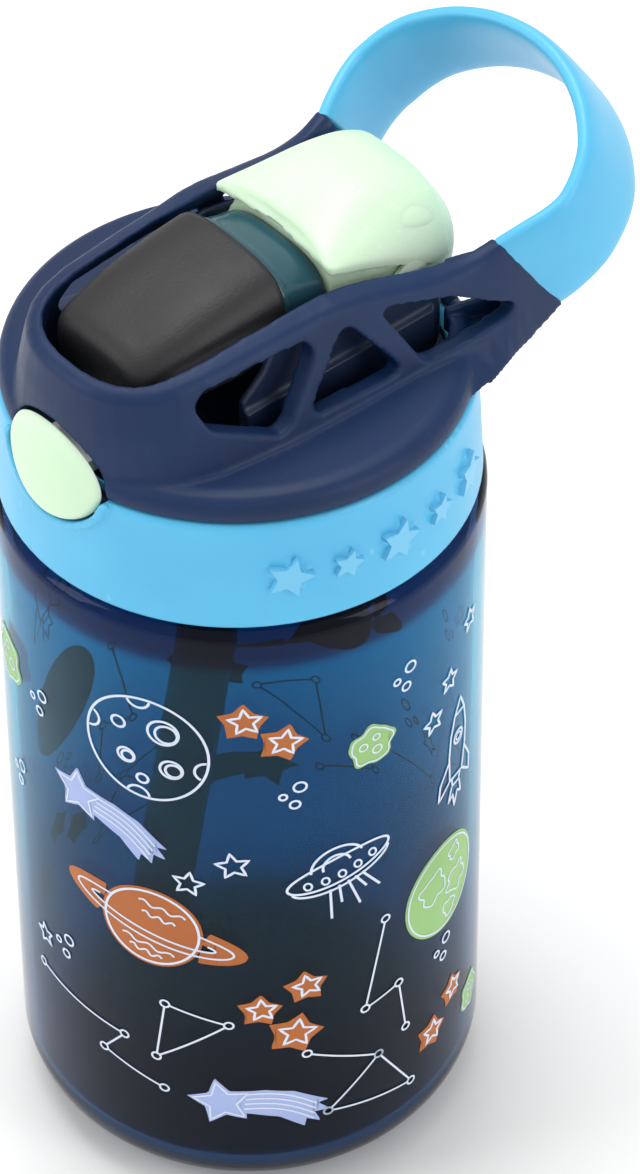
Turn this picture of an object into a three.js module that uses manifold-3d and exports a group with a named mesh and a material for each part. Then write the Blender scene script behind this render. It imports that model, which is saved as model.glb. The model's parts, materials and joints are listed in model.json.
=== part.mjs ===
// Children's drinking bottle: translucent body, screw lid with carrying loop, flip-up spout and push button.
// Millimetres. +Z up, base centre at the origin, button towards -Y, carrying loop towards +Y.
import * as THREE from 'three';
import Module from 'manifold-3d';
import { mergeVertices } from 'three/addons/utils/BufferGeometryUtils.js';

const wasm = await Module();
wasm.setup();

// ---- Driving dimensions -------------------------------------------------------------------------
const GAP = 0.3; // usual clearance between neighbouring pieces
const ROUND_SEGMENTS = 56; // facets round the big turned pieces
const SMALL_SEGMENTS = 24; // facets round the small turned pieces

// bottle
const BODY_RADIUS = 37.2;
const BODY_WALL = 1.8;
const SHOULDER_HEIGHT = 127; // top of the ledge the collar sits over
const SHOULDER_ROUND = 2.4;
const BASE_ROUND = 11.4;
const BASE_THICKNESS = 2.6;
const NECK_RADIUS = 30.9; // outside of the neck between the threads
const NECK_HEIGHT = 14;

// thread
const THREAD_PITCH = 4.5;
const THREAD_TURNS = 1.5;
const THREAD_DEPTH = 0.9;
const THREAD_ROOT_HALF = 0.95;
const THREAD_CREST_HALF = 0.55;
const THREAD_START = 4.4; // first thread centre above the shoulder ledge
const THREAD_BITE = 0.35; // how far a ridge is sunk into its wall so the two join
const THREAD_FADE = 0.12; // share of the ridge length over which it fades out at each end

// screw cap and collar
const CAP_WALL = 1.1;
const CAP_FLOOR_THICKNESS = 2.4;
const COLLAR_HEIGHT = 19.4;
const COLLAR_INSET = 0.7; // collar's lower edge inside the body's radius
const COLLAR_TAPER = 0.9;
const COLLAR_LIP_REACH = 2.1; // how far the collar's top lip reaches in over the cap
const COLLAR_LIP_THICKNESS = 1.5;
const SEAL_RADIUS = 5.4;
const SEAL_SUNK = 1.4; // how far the port seal sits in the cap's floor
const VENT_X = 10;
const VENT_Y = -15;
const VENT_STEM = 1.2;
const EMBOSS_RAISE = 0.5;
const EMBOSS_RADIUS = 3.4;
const EMBOSS_COUNT = 5;
const EMBOSS_STEP = THREE.MathUtils.degToRad(14);

// lid frame
const FRAME_INSET = 0.4; // frame's foot inside the collar's top radius
const FRAME_WALL = 3;
const SHELF_RISE = 4.2; // top of the round shelf above the collar
const SHELF_THICKNESS = 2.2;
const CHEEK_WALL = 1.2;
const HEEL_WIDTH = 2.2; // ledge along the foot of each cheek
const WEB_WALL = 1.2;
const ARM_FLOOR_RISE = 20.6;
const ARM_FLOOR_THICKNESS = 1.8;

// spout pivot
const PORT_INSET = 7.1; // the drinking port and the pivot above it stand this far inside the neck's bore
const PIVOT_RISE = 31.5; // pivot above the lid's datum
const BARREL_RADIUS = 13.6;
const BARREL_END_RADIUS = 11.4;
const BARREL_HALF_LENGTH = 12;
const BARREL_SIDE_ROOM = 1.4; // from each end of the barrel to its cheek, filled by a bushing
const BARREL_SWEEP_ROOM = 1.3; // clear of the turning barrel all round
const HOOD_SIDE_ROOM = 0.5;
const HOOD_HEM_CLEARANCE = 4; // the hood stays this far from the pivot
const PIVOT_PIN_RADIUS = 1.6;
const BUSHING_RADIUS = 3.4;
const CHANNEL_RADIUS = 3;
const SPRING_WIRE = 0.35;

// spout
const MOUTH_FRONT_Y = -26.4;
const MOUTH_TO_PIVOT = 22.7; // from the mouthpiece's rear rim to the pivot
const NECK_TO_PIVOT = 13.8; // from where the tube meets the green neck to the pivot
const MOUTH_FRONT_HALF_WIDTH = 10.1;
const MOUTH_REAR_HALF_WIDTH = 12.3;
const TUBE_HALF_WIDTH = 11.3;

// button
const BUTTON_HALF_WIDTH = 10.2;
const BUTTON_HALF_HEIGHT = 7.7;
const BUTTON_RISE = 20; // centre above the lid's datum
const BUTTON_RIM = 0.6;
const BUTTON_RIM_RAISE = 1; // how far the collar's rim stands out round it
const BUTTON_DOME = 1.1;
const BUTTON_CLEARANCE = 0.4; // round its edge
const BUTTON_TILT = THREE.MathUtils.degToRad(7);
const BUTTON_TRAVEL = 1.6;
const BUTTON_SEAT_DEPTH = 2.2; // back of the pressed button inside the collar's top radius

// carrying loop
const LOOP_DEPTH = 29.5;
const LOOP_THICKNESS = 3.2;
const LOOP_TILT = THREE.MathUtils.degToRad(34.4); // plane of the loop above the horizontal
const LOOP_BAND_WIDTH = 18.5;
const SEAM_WIDTH = 19.6;
const ROOT_FLARE = 1.9; // the loop's lower edge stands this much further out at the seam

// straw
const STRAW_RADIUS = 4.7;
const STRAW_WALL = 1;
const STRAW_SOCKET_WALL = 1.6;
const STRAW_TOP_Y = -1.5;
const STRAW_FOOT_Y = -25;

// ---- Heights that follow from the sizes above ---------------------------------------------------
const COLLAR_BOTTOM = SHOULDER_HEIGHT + GAP;
const COLLAR_TOP = COLLAR_BOTTOM + COLLAR_HEIGHT;
const NECK_TOP = SHOULDER_HEIGHT + NECK_HEIGHT;
const NECK_BORE = NECK_RADIUS - BODY_WALL;
const PIVOT_Y = NECK_BORE - PORT_INSET;
const MOUTH_REAR_Y = PIVOT_Y - MOUTH_TO_PIVOT;
const NECK_FRONT_Y = PIVOT_Y - NECK_TO_PIVOT;
const THREAD_CREST = NECK_RADIUS + THREAD_DEPTH;
const CAP_BORE = THREAD_CREST + GAP;
const CAP_RADIUS = CAP_BORE + CAP_WALL;
const COLLAR_BOTTOM_RADIUS = BODY_RADIUS - COLLAR_INSET;
const COLLAR_TOP_RADIUS = COLLAR_BOTTOM_RADIUS - COLLAR_TAPER;
const COLLAR_BORE = CAP_RADIUS + GAP;
const COLLAR_LIP_BORE = COLLAR_BORE - COLLAR_LIP_REACH;
const FRAME_RADIUS = COLLAR_TOP_RADIUS - FRAME_INSET;
const WELL_HALF_WIDTH = BARREL_HALF_LENGTH + BARREL_SIDE_ROOM; // between the cheeks that hold the spout
const HOOD_HALF_WIDTH = WELL_HALF_WIDTH - HOOD_SIDE_ROOM;
const STRAW_BORE = STRAW_RADIUS - STRAW_WALL;
const GASKET_THICKNESS = 0.8;
const BUTTON_SEAT_RADIUS = COLLAR_TOP_RADIUS - BUTTON_SEAT_DEPTH;
const BUTTON_BACK_Y = -(BUTTON_SEAT_RADIUS + BUTTON_TRAVEL + 0.2); // back of the button at rest
const CAP_FLOOR = NECK_TOP + GASKET_THICKNESS + 2 * 0.2;
const CAP_FLOOR_TOP = CAP_FLOOR + CAP_FLOOR_THICKNESS;
const FRAME_BASE = COLLAR_TOP + 0.2;
const DATUM_DROP = 19.4; // heights on the lid are given from a datum this far below the collar's top
const above = (rise) => COLLAR_TOP - DATUM_DROP + rise;
const PIVOT_Z = above(PIVOT_RISE);

// The lid's outlines are drawn for this frame radius and this well, and move out with both.
const DRAWN_FRAME_RADIUS = 35.2;
const DRAWN_WELL_HALF_WIDTH = 13.4;
const DRAWN_SEAM_X = 21.1;

function placed([x, y, rise]) {
  const grow = (FRAME_RADIUS - DRAWN_FRAME_RADIUS) / Math.hypot(x, y);
  const widen = (WELL_HALF_WIDTH - DRAWN_WELL_HALF_WIDTH) * Math.min(1, x / DRAWN_WELL_HALF_WIDTH);
  return [x + x * grow + widen, y + y * grow, rise];
}

const SEAM_TOP = placed([DRAWN_SEAM_X, 33.2, 37]); // upper outer corner where the loop meets the frame

// ---- Small building tools -----------------------------------------------------------------------
function signedVolume(positions, index) {
  let sum = 0;
  const a = new THREE.Vector3();
  const b = new THREE.Vector3();
  const c = new THREE.Vector3();
  for (let i = 0; i < index.length; i += 3) {
    a.fromArray(positions, index[i] * 3);
    b.fromArray(positions, index[i + 1] * 3);
    c.fromArray(positions, index[i + 2] * 3);
    sum += a.dot(b.clone().cross(c)) / 6;
  }
  return sum;
}

// A closed three.js shape becomes a solid that can be joined and cut.
function toSolid(geometry) {
  const plain = geometry.clone();
  plain.deleteAttribute('normal');
  plain.deleteAttribute('uv');
  const merged = mergeVertices(plain, 1e-4);
  const all = merged.index.array;
  const index = [];
  for (let i = 0; i < all.length; i += 3) {
    const [a, b, c] = [all[i], all[i + 1], all[i + 2]];
    if (a !== b && b !== c && a !== c) index.push(a, b, c);
  }
  const positions = new Float32Array(merged.attributes.position.array);
  if (signedVolume(positions, index) < 0) {
    for (let i = 0; i < index.length; i += 3) [index[i], index[i + 1]] = [index[i + 1], index[i]];
  }
  const mesh = new wasm.Mesh({ numProp: 3, vertProperties: positions, triVerts: new Uint32Array(index) });
  mesh.merge();
  return new wasm.Manifold(mesh);
}

function toGeometry(solid) {
  const mesh = solid.simplify(0.004).getMesh(); // drops the slivers that cuts leave behind
  const geometry = new THREE.BufferGeometry();
  geometry.setAttribute('position', new THREE.BufferAttribute(new Float32Array(mesh.vertProperties), 3));
  geometry.setIndex(new THREE.BufferAttribute(new Uint32Array(mesh.triVerts), 1));
  return geometry;
}

// A profile of [radius, height] turned about the vertical axis.
function turned(profile, segments = ROUND_SEGMENTS) {
  const points = profile.map(([r, z]) => new THREE.Vector2(r, z));
  const geometry = new THREE.LatheGeometry(points, segments);
  geometry.rotateX(Math.PI / 2);
  return toSolid(geometry);
}

// A profile of [radius, x] turned about a sideways axis through the given place.
function turnedSideways(profile, y, z, segments = SMALL_SEGMENTS * 2) {
  const points = profile.map(([r, x]) => new THREE.Vector2(r, x));
  const geometry = new THREE.LatheGeometry(points, segments);
  geometry.rotateZ(-Math.PI / 2);
  geometry.translate(0, y, z);
  return toSolid(geometry);
}

function drum(radius, x0, x1, y, z, segments) {
  return turnedSideways([[0, x0], [radius, x0], [radius, x1], [0, x1]], y, z, segments);
}

function disc(radius, z0, z1, x = 0, y = 0, segments = SMALL_SEGMENTS) {
  const profile = [[0, z0], [radius, z0], [radius, z1], [0, z1]];
  return turned(profile, segments).translate([x, y, 0]);
}

// Rows of points, each row a closed loop with the same count, skinned into one closed solid.
function skinned(rows) {
  const count = rows[0].length;
  const positions = [];
  for (const row of rows) for (const p of row) positions.push(...p);
  const index = [];
  for (let i = 0; i < rows.length - 1; i++) {
    for (let j = 0; j < count; j++) {
      const a = i * count + j;
      const b = i * count + ((j + 1) % count);
      index.push(a, b, b + count, a, b + count, a + count);
    }
  }
  for (const [row, offset, flip] of [[rows[0], 0, true], [rows.at(-1), (rows.length - 1) * count, false]]) {
    for (const [a, b, c] of capTriangles(row)) {
      if (flip) index.push(offset + a, offset + c, offset + b);
      else index.push(offset + a, offset + b, offset + c);
    }
  }
  const geometry = new THREE.BufferGeometry();
  geometry.setAttribute('position', new THREE.Float32BufferAttribute(positions, 3));
  geometry.setIndex(index);
  return toSolid(geometry);
}

// Triangles over a flat closed loop, turned the same way round as the loop.
function capTriangles(row) {
  const normal = new THREE.Vector3();
  for (let i = 0; i < row.length; i++) {
    const [ax, ay, az] = row[i];
    const [bx, by, bz] = row[(i + 1) % row.length];
    normal.x += (ay - by) * (az + bz);
    normal.y += (az - bz) * (ax + bx);
    normal.z += (ax - bx) * (ay + by);
  }
  normal.normalize();
  const u = new THREE.Vector3(0, 0, 1);
  if (Math.abs(normal.z) > 0.9) u.set(1, 0, 0);
  u.cross(normal).normalize();
  const v = normal.clone().cross(u);
  const flat = row.map((p) => {
    const q = new THREE.Vector3(...p);
    return new THREE.Vector2(q.dot(u), q.dot(v));
  });
  return THREE.ShapeUtils.triangulateShape(flat, []);
}

function prismZ(loop, z0, z1) {
  return skinned([z0, z1].map((z) => loop.map(([x, y]) => [x, y, z])));
}

function prismX(loop, x0, x1) {
  return skinned([x0, x1].map((x) => loop.map(([y, z]) => [x, y, z])));
}

function prismY(loop, y0, y1) {
  return skinned([y0, y1].map((y) => loop.map(([x, z]) => [x, y, z])));
}

function block(x0, x1, y0, y1, z0, z1) {
  return prismZ([[x0, y0], [x1, y0], [x1, y1], [x0, y1]], z0, z1);
}

// A polygon with its corners rounded.
function rounded(loop, radius, steps = 4) {
  const out = [];
  for (let i = 0; i < loop.length; i++) {
    const p = new THREE.Vector2(...loop[i]);
    const before = new THREE.Vector2(...loop[(i + loop.length - 1) % loop.length]).sub(p);
    const after = new THREE.Vector2(...loop[(i + 1) % loop.length]).sub(p);
    const angle = Math.acos(before.dot(after) / (before.length() * after.length()));
    const back = Math.min(radius / Math.tan(angle / 2), before.length() * 0.45, after.length() * 0.45);
    const start = p.clone().addScaledVector(before.normalize(), back);
    const end = p.clone().addScaledVector(after.normalize(), back);
    for (let k = 0; k <= steps; k++) {
      const t = k / steps;
      const x = (1 - t) ** 2 * start.x + 2 * t * (1 - t) * p.x + t * t * end.x;
      const y = (1 - t) ** 2 * start.y + 2 * t * (1 - t) * p.y + t * t * end.y;
      out.push([x, y]);
    }
  }
  return out;
}

function arc(cx, cy, radius, from, to, steps) {
  const out = [];
  for (let i = 0; i <= steps; i++) {
    const angle = THREE.MathUtils.degToRad(from + ((to - from) * i) / steps);
    out.push([cx + radius * Math.cos(angle), cy + radius * Math.sin(angle)]);
  }
  return out;
}

// A closed oval whose corners get squarer as the power rises.
function squaredOval(halfWidth, halfHeight, power, count) {
  const out = [];
  for (let i = 0; i < count; i++) {
    const angle = (2 * Math.PI * (i + 0.5)) / count;
    const c = Math.cos(angle);
    const s = Math.sin(angle);
    out.push([
      halfWidth * Math.sign(c) * Math.abs(c) ** (2 / power),
      halfHeight * Math.sign(s) * Math.abs(s) ** (2 / power),
    ]);
  }
  return out;
}

function mirrored(solid) {
  return solid.mirror([1, 0, 0]);
}

function withMirror(solid) {
  return solid.add(mirrored(solid));
}

// ---- Bottle -------------------------------------------------------------------------------------
function threadRidge(rootRadius, crestRadius, startHeight) {
  const steps = Math.round(THREAD_TURNS * 36);
  const rows = [];
  for (let i = 0; i <= steps; i++) {
    const t = i / steps;
    const angle = t * THREAD_TURNS * 2 * Math.PI;
    const z = startHeight + t * THREAD_TURNS * THREAD_PITCH;
    const fade = Math.min(1, Math.min(t, 1 - t) / THREAD_FADE + 0.02);
    const crest = rootRadius + (crestRadius - rootRadius) * fade;
    const section = [
      [rootRadius, z - THREAD_ROOT_HALF],
      [crest, z - THREAD_CREST_HALF],
      [crest, z + THREAD_CREST_HALF],
      [rootRadius, z + THREAD_ROOT_HALF],
    ];
    rows.push(section.map(([r, h]) => [r * Math.cos(angle), r * Math.sin(angle), h]));
  }
  return skinned(rows);
}

function bottleBody() {
  const inner = BODY_RADIUS - BODY_WALL;
  const roundCentre = BODY_RADIUS - BASE_ROUND;
  const innerRound = BASE_ROUND - BODY_WALL;
  const ledge = SHOULDER_HEIGHT;
  const profile = [
    [0, 0],
    ...arc(roundCentre, BASE_ROUND, BASE_ROUND, -90, 0, 7),
    [BODY_RADIUS, ledge / 2],
    ...arc(BODY_RADIUS - SHOULDER_ROUND, ledge - SHOULDER_ROUND, SHOULDER_ROUND, 0, 90, 3),
    [NECK_RADIUS, ledge],
    [NECK_RADIUS, NECK_TOP - 0.5],
    [NECK_RADIUS - 0.5, NECK_TOP],
    [NECK_BORE + 0.5, NECK_TOP],
    [NECK_BORE, NECK_TOP - 0.5],
    [NECK_BORE, ledge],
    [NECK_BORE + 0.8, ledge - BODY_WALL],
    ...arc(inner - SHOULDER_ROUND, ledge - BODY_WALL - SHOULDER_ROUND, SHOULDER_ROUND, 90, 0, 3),
    [inner, ledge / 2],
    ...arc(roundCentre, BASE_THICKNESS + innerRound, innerRound, 0, -90, 6),
    [0, BASE_THICKNESS],
  ];
  const ridge = threadRidge(NECK_RADIUS - THREAD_BITE, THREAD_CREST, SHOULDER_HEIGHT + THREAD_START);
  return turned(profile).add(ridge);
}

function neckGasket() {
  const z0 = NECK_TOP + 0.2;
  const z1 = z0 + GASKET_THICKNESS;
  const profile = [
    [NECK_BORE + 0.1, z0], [NECK_RADIUS - 0.1, z0], [NECK_RADIUS - 0.1, z1], [NECK_BORE + 0.1, z1],
    [NECK_BORE + 0.1, z0],
  ];
  return turned(profile);
}

// ---- Screw cap and collar -----------------------------------------------------------------------
function screwCap() {
  const skirtBottom = COLLAR_BOTTOM + 0.8;
  const profile = [
    [CAP_BORE, skirtBottom], [CAP_RADIUS, skirtBottom], [CAP_RADIUS, CAP_FLOOR_TOP], [0, CAP_FLOOR_TOP],
    [0, CAP_FLOOR], [CAP_BORE, CAP_FLOOR], [CAP_BORE, skirtBottom],
  ];
  const femaleStart = SHOULDER_HEIGHT + THREAD_START - THREAD_PITCH / 2 + THREAD_PITCH;
  const ridge = threadRidge(CAP_BORE + THREAD_BITE, CAP_BORE - THREAD_DEPTH + 0.1, femaleStart);
  const port = disc(CHANNEL_RADIUS, CAP_FLOOR - 1, CAP_FLOOR_TOP + 1, 0, PIVOT_Y);
  const sealSeat = disc(SEAL_RADIUS + GAP, CAP_FLOOR_TOP - SEAL_SUNK, CAP_FLOOR_TOP + 1, 0, PIVOT_Y);
  const vent = disc(VENT_STEM + 0.25, CAP_FLOOR - 1, CAP_FLOOR_TOP + 1, VENT_X, VENT_Y);
  return turned(profile).add(ridge).subtract(port).subtract(sealSeat).subtract(vent);
}

function portSeal() {
  const top = PIVOT_Z - BARREL_RADIUS - 0.25;
  const z0 = CAP_FLOOR_TOP - SEAL_SUNK + 0.1;
  const profile = [
    [CHANNEL_RADIUS, z0], [SEAL_RADIUS, z0], [SEAL_RADIUS, top - 0.5], [SEAL_RADIUS - 0.6, top],
    [CHANNEL_RADIUS, top], [CHANNEL_RADIUS, z0],
  ];
  return turned(profile, SMALL_SEGMENTS).translate([0, PIVOT_Y, 0]);
}

function ventValve() {
  const profile = [
    [0, CAP_FLOOR - 1.2], [3.2, CAP_FLOOR - 0.9], [3.4, CAP_FLOOR - 0.3], [VENT_STEM, CAP_FLOOR - 0.3],
    [VENT_STEM, CAP_FLOOR_TOP + 0.3], [2.1, CAP_FLOOR_TOP + 0.4], [1.4, CAP_FLOOR_TOP + 1.6],
    [0, CAP_FLOOR_TOP + 2],
  ];
  return turned(profile, SMALL_SEGMENTS).translate([VENT_X, VENT_Y, 0]);
}

// The button's pointed oval outline in its own plane, grown by a margin.
function buttonOutline(margin) {
  const halfWidth = BUTTON_HALF_WIDTH + margin;
  const halfHeight = BUTTON_HALF_HEIGHT + margin;
  const out = [];
  const count = 32;
  for (let i = 0; i < count; i++) {
    const angle = (2 * Math.PI * i) / count;
    const c = Math.cos(angle);
    const s = Math.sin(angle);
    out.push([halfWidth * c, halfHeight * Math.sign(s) * Math.abs(s) ** 1.15]);
  }
  return out;
}

// A prism with the button's outline, from one depth to another, leaning with the button.
function buttonPrism(margin, y0, y1) {
  const lean = THREE.MathUtils.radToDeg(-BUTTON_TILT);
  const prism = prismY(buttonOutline(margin), y0, y1).rotate([lean, 0, 0]);
  return prism.translate([0, BUTTON_BACK_Y, above(BUTTON_RISE)]);
}

function star(radius, points = 5) {
  const out = [];
  for (let i = 0; i < points * 2; i++) {
    const r = i % 2 ? radius * 0.48 : radius;
    const angle = Math.PI / 2 + (i * Math.PI) / points;
    out.push([r * Math.cos(angle), r * Math.sin(angle)]);
  }
  return out;
}

function collarProfile(grow) {
  return [
    [COLLAR_BORE, COLLAR_BOTTOM], [COLLAR_BOTTOM_RADIUS - 0.5 + grow, COLLAR_BOTTOM],
    [COLLAR_BOTTOM_RADIUS + grow, COLLAR_BOTTOM + 0.6], [COLLAR_TOP_RADIUS + grow, COLLAR_TOP - 0.6],
    [COLLAR_TOP_RADIUS - 0.5 + grow, COLLAR_TOP], [COLLAR_LIP_BORE, COLLAR_TOP],
    [COLLAR_LIP_BORE, COLLAR_TOP - COLLAR_LIP_THICKNESS], [COLLAR_BORE, COLLAR_TOP - COLLAR_LIP_THICKNESS],
    [COLLAR_BORE, COLLAR_BOTTOM],
  ];
}

function collarRing() {
  let ring = turned(collarProfile(0));
  const raisedLayer = turned(collarProfile(EMBOSS_RAISE));
  const middle = COLLAR_BOTTOM + COLLAR_HEIGHT / 2;
  for (let i = 0; i < EMBOSS_COUNT; i++) {
    const angle = (i - (EMBOSS_COUNT - 1) / 2) * EMBOSS_STEP;
    const size = EMBOSS_RADIUS * (i % 2 ? 0.7 : 1);
    const stamp = prismX(star(size), COLLAR_TOP_RADIUS - 1, COLLAR_BOTTOM_RADIUS + 2)
      .rotate([0, 0, THREE.MathUtils.radToDeg(angle)])
      .translate([0, 0, middle]);
    ring = ring.add(stamp.intersect(raisedLayer));
  }
  // a raised rim round the lower half of the button
  const rimLayer = turned(collarProfile(BUTTON_RIM_RAISE));
  ring = ring.add(buttonPrism(1.7, -6, 1.5).intersect(rimLayer));
  return ring.subtract(buttonPrism(BUTTON_CLEARANCE, -6, 4)).subtract(barrelSweep());
}

// ---- Lid frame ----------------------------------------------------------------------------------
// Stations along the right-hand wall from the nose to the seam, [x, y, height above the lid's datum].
const WALL_STATIONS = [
  { top: [0, -33, 36.9], lip: [0, -30.4, 38], foot: [0, -34.6, 24], base: [0, -35.2, 19.7] },
  { top: [7.5, -32, 37], lip: [6, -29.7, 38], foot: [8.5, -33.4, 24], base: [8.7, -34, 19.7] },
  { top: [12.8, -28.2, 37], lip: [10.6, -26.8, 38.1], foot: [14.8, -29.6, 24], base: [15.4, -31, 19.7] },
  { top: [15.7, -22.7, 37.8], lip: [12.7, -22, 38.8], foot: [19.6, -24, 24], base: [20, -24.5, 21.6] },
  { top: [17, -11, 38.4], lip: [13.5, -11, 39.6], foot: [21.9, -11.5, 24], base: [22.2, -11.5, 21.6] },
  { top: [17.5, -1, 38.8], lip: [13.8, -2, 40.1], foot: [22.5, -1, 24], base: [22.8, -1, 21.6] },
  { top: [18.1, 6, 39], lip: [13.9, 6, 39.8], foot: [22.6, 6, 24], base: [22.9, 6, 21.6] },
  { top: [18.8, 15, 37.2], lip: [14.8, 15, 38], foot: [22.8, 15, 24], base: [24.6, 14, 21.6] },
  { top: [19.2, 19.2, 36.2], lip: [15.5, 19.2, 37], foot: [23.4, 20, 23.9], base: [28.8, 19.4, 20.4] },
  { top: [19.5, 23, 35.5], lip: [16, 23, 36.3], foot: [24, 24, 23.8], base: [28.1, 26, 19.8] },
  { top: [20.2, 28.4, 35.4], lip: [17.2, 28.4, 36], foot: [24.2, 31, 24.2], base: [26, 31.6, 19.8] },
  { top: [20.7, 31, 36], lip: [17.7, 31, 36.4], foot: [23.2, 35.8, 25.6], base: [24.3, 37.6, 19.9] },
  { top: [21.1, 33.2, 37], lip: [18.1, 33.2, 37], foot: [22.2, 39.6, 27.6], base: [23, 44, 21.2] },
];
const STATION_STEPS = 50; // slices of the wall from one seam round the nose to the other

// A smooth line through one named corner of every station, left seam to right seam.
function stationLine(corner) {
  const right = WALL_STATIONS.map((station) => {
    const [x, y, rise] = placed(station[corner]);
    return new THREE.Vector3(x, y, above(rise));
  });
  const left = right.slice(1).reverse().map((p) => new THREE.Vector3(-p.x, p.y, p.z));
  return new THREE.CatmullRomCurve3([...left, ...right], false, 'centripetal');
}

function wallRibbon() {
  const lines = Object.fromEntries(['top', 'lip', 'foot', 'base'].map((name) => [name, stationLine(name)]));
  const rows = [];
  for (let i = 0; i <= STATION_STEPS; i++) {
    const t = i / STATION_STEPS;
    const [top, lip, foot, base] = ['top', 'lip', 'foot', 'base'].map((name) => lines[name].getPoint(t));
    const along = lines.foot.getTangent(t);
    const inward = new THREE.Vector3(-along.y, along.x, 0).normalize();
    const down = base.clone().sub(top).normalize();
    const lipOut = top.clone().sub(lip).normalize();
    const middle = top.clone().add(foot).multiplyScalar(0.5).addScaledVector(inward, -0.2);
    const under = lip.clone().addScaledVector(down, 2.4);
    const innerTop = top.clone().addScaledVector(inward, FRAME_WALL).addScaledVector(down, 3.2);
    const row = [
      base, foot, middle,
      top.clone().addScaledVector(down, 0.7), top.clone().addScaledVector(lipOut, -0.7),
      lip.clone().addScaledVector(lipOut, 0.6), lip.clone().addScaledVector(down, 0.6),
      under, innerTop,
      foot.clone().addScaledVector(inward, FRAME_WALL), base.clone().addScaledVector(inward, FRAME_WALL),
    ];
    rows.push(row.map((p) => p.toArray()));
  }
  return skinned(rows);
}

function shelf() {
  const z = COLLAR_BOTTOM;
  const top = FRAME_BASE + SHELF_RISE;
  const profile = [
    [0, top - SHELF_THICKNESS], [FRAME_RADIUS - 3.2, top - SHELF_THICKNESS - 0.3],
    [FRAME_RADIUS - 2.8, FRAME_BASE], [FRAME_RADIUS, FRAME_BASE], [FRAME_RADIUS, FRAME_BASE + 1.6],
    [FRAME_RADIUS - 0.5, FRAME_BASE + 3], [FRAME_RADIUS - 1.6, FRAME_BASE + 3.9],
    [FRAME_RADIUS - 3, top], [23, above(23.6)], [0, above(23.6)],
  ];
  const wide = WELL_HALF_WIDTH + 6;
  const corner = WELL_HALF_WIDTH + 0.6;
  const opening = prismZ([
    [-wide, -22], [-15, -28.6], [-8, -31.2], [8, -31.2], [15, -28.6], [wide, -22],
    [wide, 24], [corner, 29.6], [8, 32], [-8, 32], [-corner, 29.6], [-wide, 24],
  ], z, top + 5);
  return turned(profile).subtract(opening);
}

// Rounded windows seen from the side, [y, height above the lid's datum].
const WINDOWS = [
  [[-19.6, 36.4], [-21.6, 34.2], [-20, 30.4], [-9.6, 25.4], [-7.6, 26.2], [-0.8, 34.6], [-2.2, 36.8]],
  [[3.8, 35.6], [5.8, 35.6], [13.6, 25], [-2.8, 25.6], [-3.2, 27.4]],
  [[11.4, 35], [13, 35.4], [24, 32.2], [34.2, 26.8], [33, 25.6], [18.4, 24.6], [16.8, 25.2]],
];

function windowCutters() {
  const reach = [WELL_HALF_WIDTH + 0.5, FRAME_RADIUS];
  return WINDOWS.map((loop) => prismX(rounded(loop.map(([y, h]) => [y, above(h)]), 1.6, 3), ...reach));
}

// Inner wall of one arm, from the end of the spout housing out to the seam.
const WEB_LINE = [[16, 30], [17.2, 33.4], [18.6, 36.6], [19.6, 43]];
// Outer edge of the arm's floor, inside the outer wall, from the seam back to the shelf.
const ARM_FLOOR_LINE = [[21.4, 43], [22.6, 38], [23.6, 32], [24, 26.6]];

function armWeb() {
  const inner = [[WELL_HALF_WIDTH + CHEEK_WALL + 0.4, 26.6], ...WEB_LINE.map(placed)];
  const outer = inner.map(([x, y]) => [x + WEB_WALL, y]).reverse();
  const wall = prismZ([...inner, ...outer], above(22.4), above(34.6));
  // a floor joins its foot to the outer wall
  const reach = ARM_FLOOR_LINE.map(placed).map(([x, y]) => [x, y]);
  const floor = prismZ([...inner, ...reach], above(ARM_FLOOR_RISE), above(ARM_FLOOR_RISE + ARM_FLOOR_THICKNESS));
  const foot = prismZ([...inner, ...outer], above(ARM_FLOOR_RISE), above(22.5));
  // the rear edge stops just short of the sloping seam
  const seamY = SEAM_TOP[1];
  const side = [
    [20, above(ARM_FLOOR_RISE)], [seamY + 9.6, above(ARM_FLOOR_RISE)], [seamY + 7.6, above(25.2)],
    [seamY + 1.1, above(34.8)], [20, above(34.8)],
  ];
  return withMirror(wall.add(floor).add(foot).intersect(prismX(side, 0, FRAME_RADIUS)));
}

function lidFrame() {
  let frame = wallRibbon().add(shelf()).add(armWeb());
  for (const cutter of windowCutters()) frame = frame.subtract(cutter).subtract(mirrored(cutter));
  const slot = block(-5.4, 5.4, -FRAME_RADIUS - 5, -20, FRAME_BASE - 1, FRAME_BASE + 3.2);
  return frame.subtract(barrelSweep()).subtract(buttonPrism(BUTTON_CLEARANCE, -6, 8)).subtract(slot);
}

// Room for the turning barrel and thumb hood.
function barrelSweep() {
  const radius = BARREL_RADIUS + BARREL_SWEEP_ROOM;
  return drum(radius, -WELL_HALF_WIDTH, WELL_HALF_WIDTH, PIVOT_Y, PIVOT_Z, 40);
}

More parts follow.
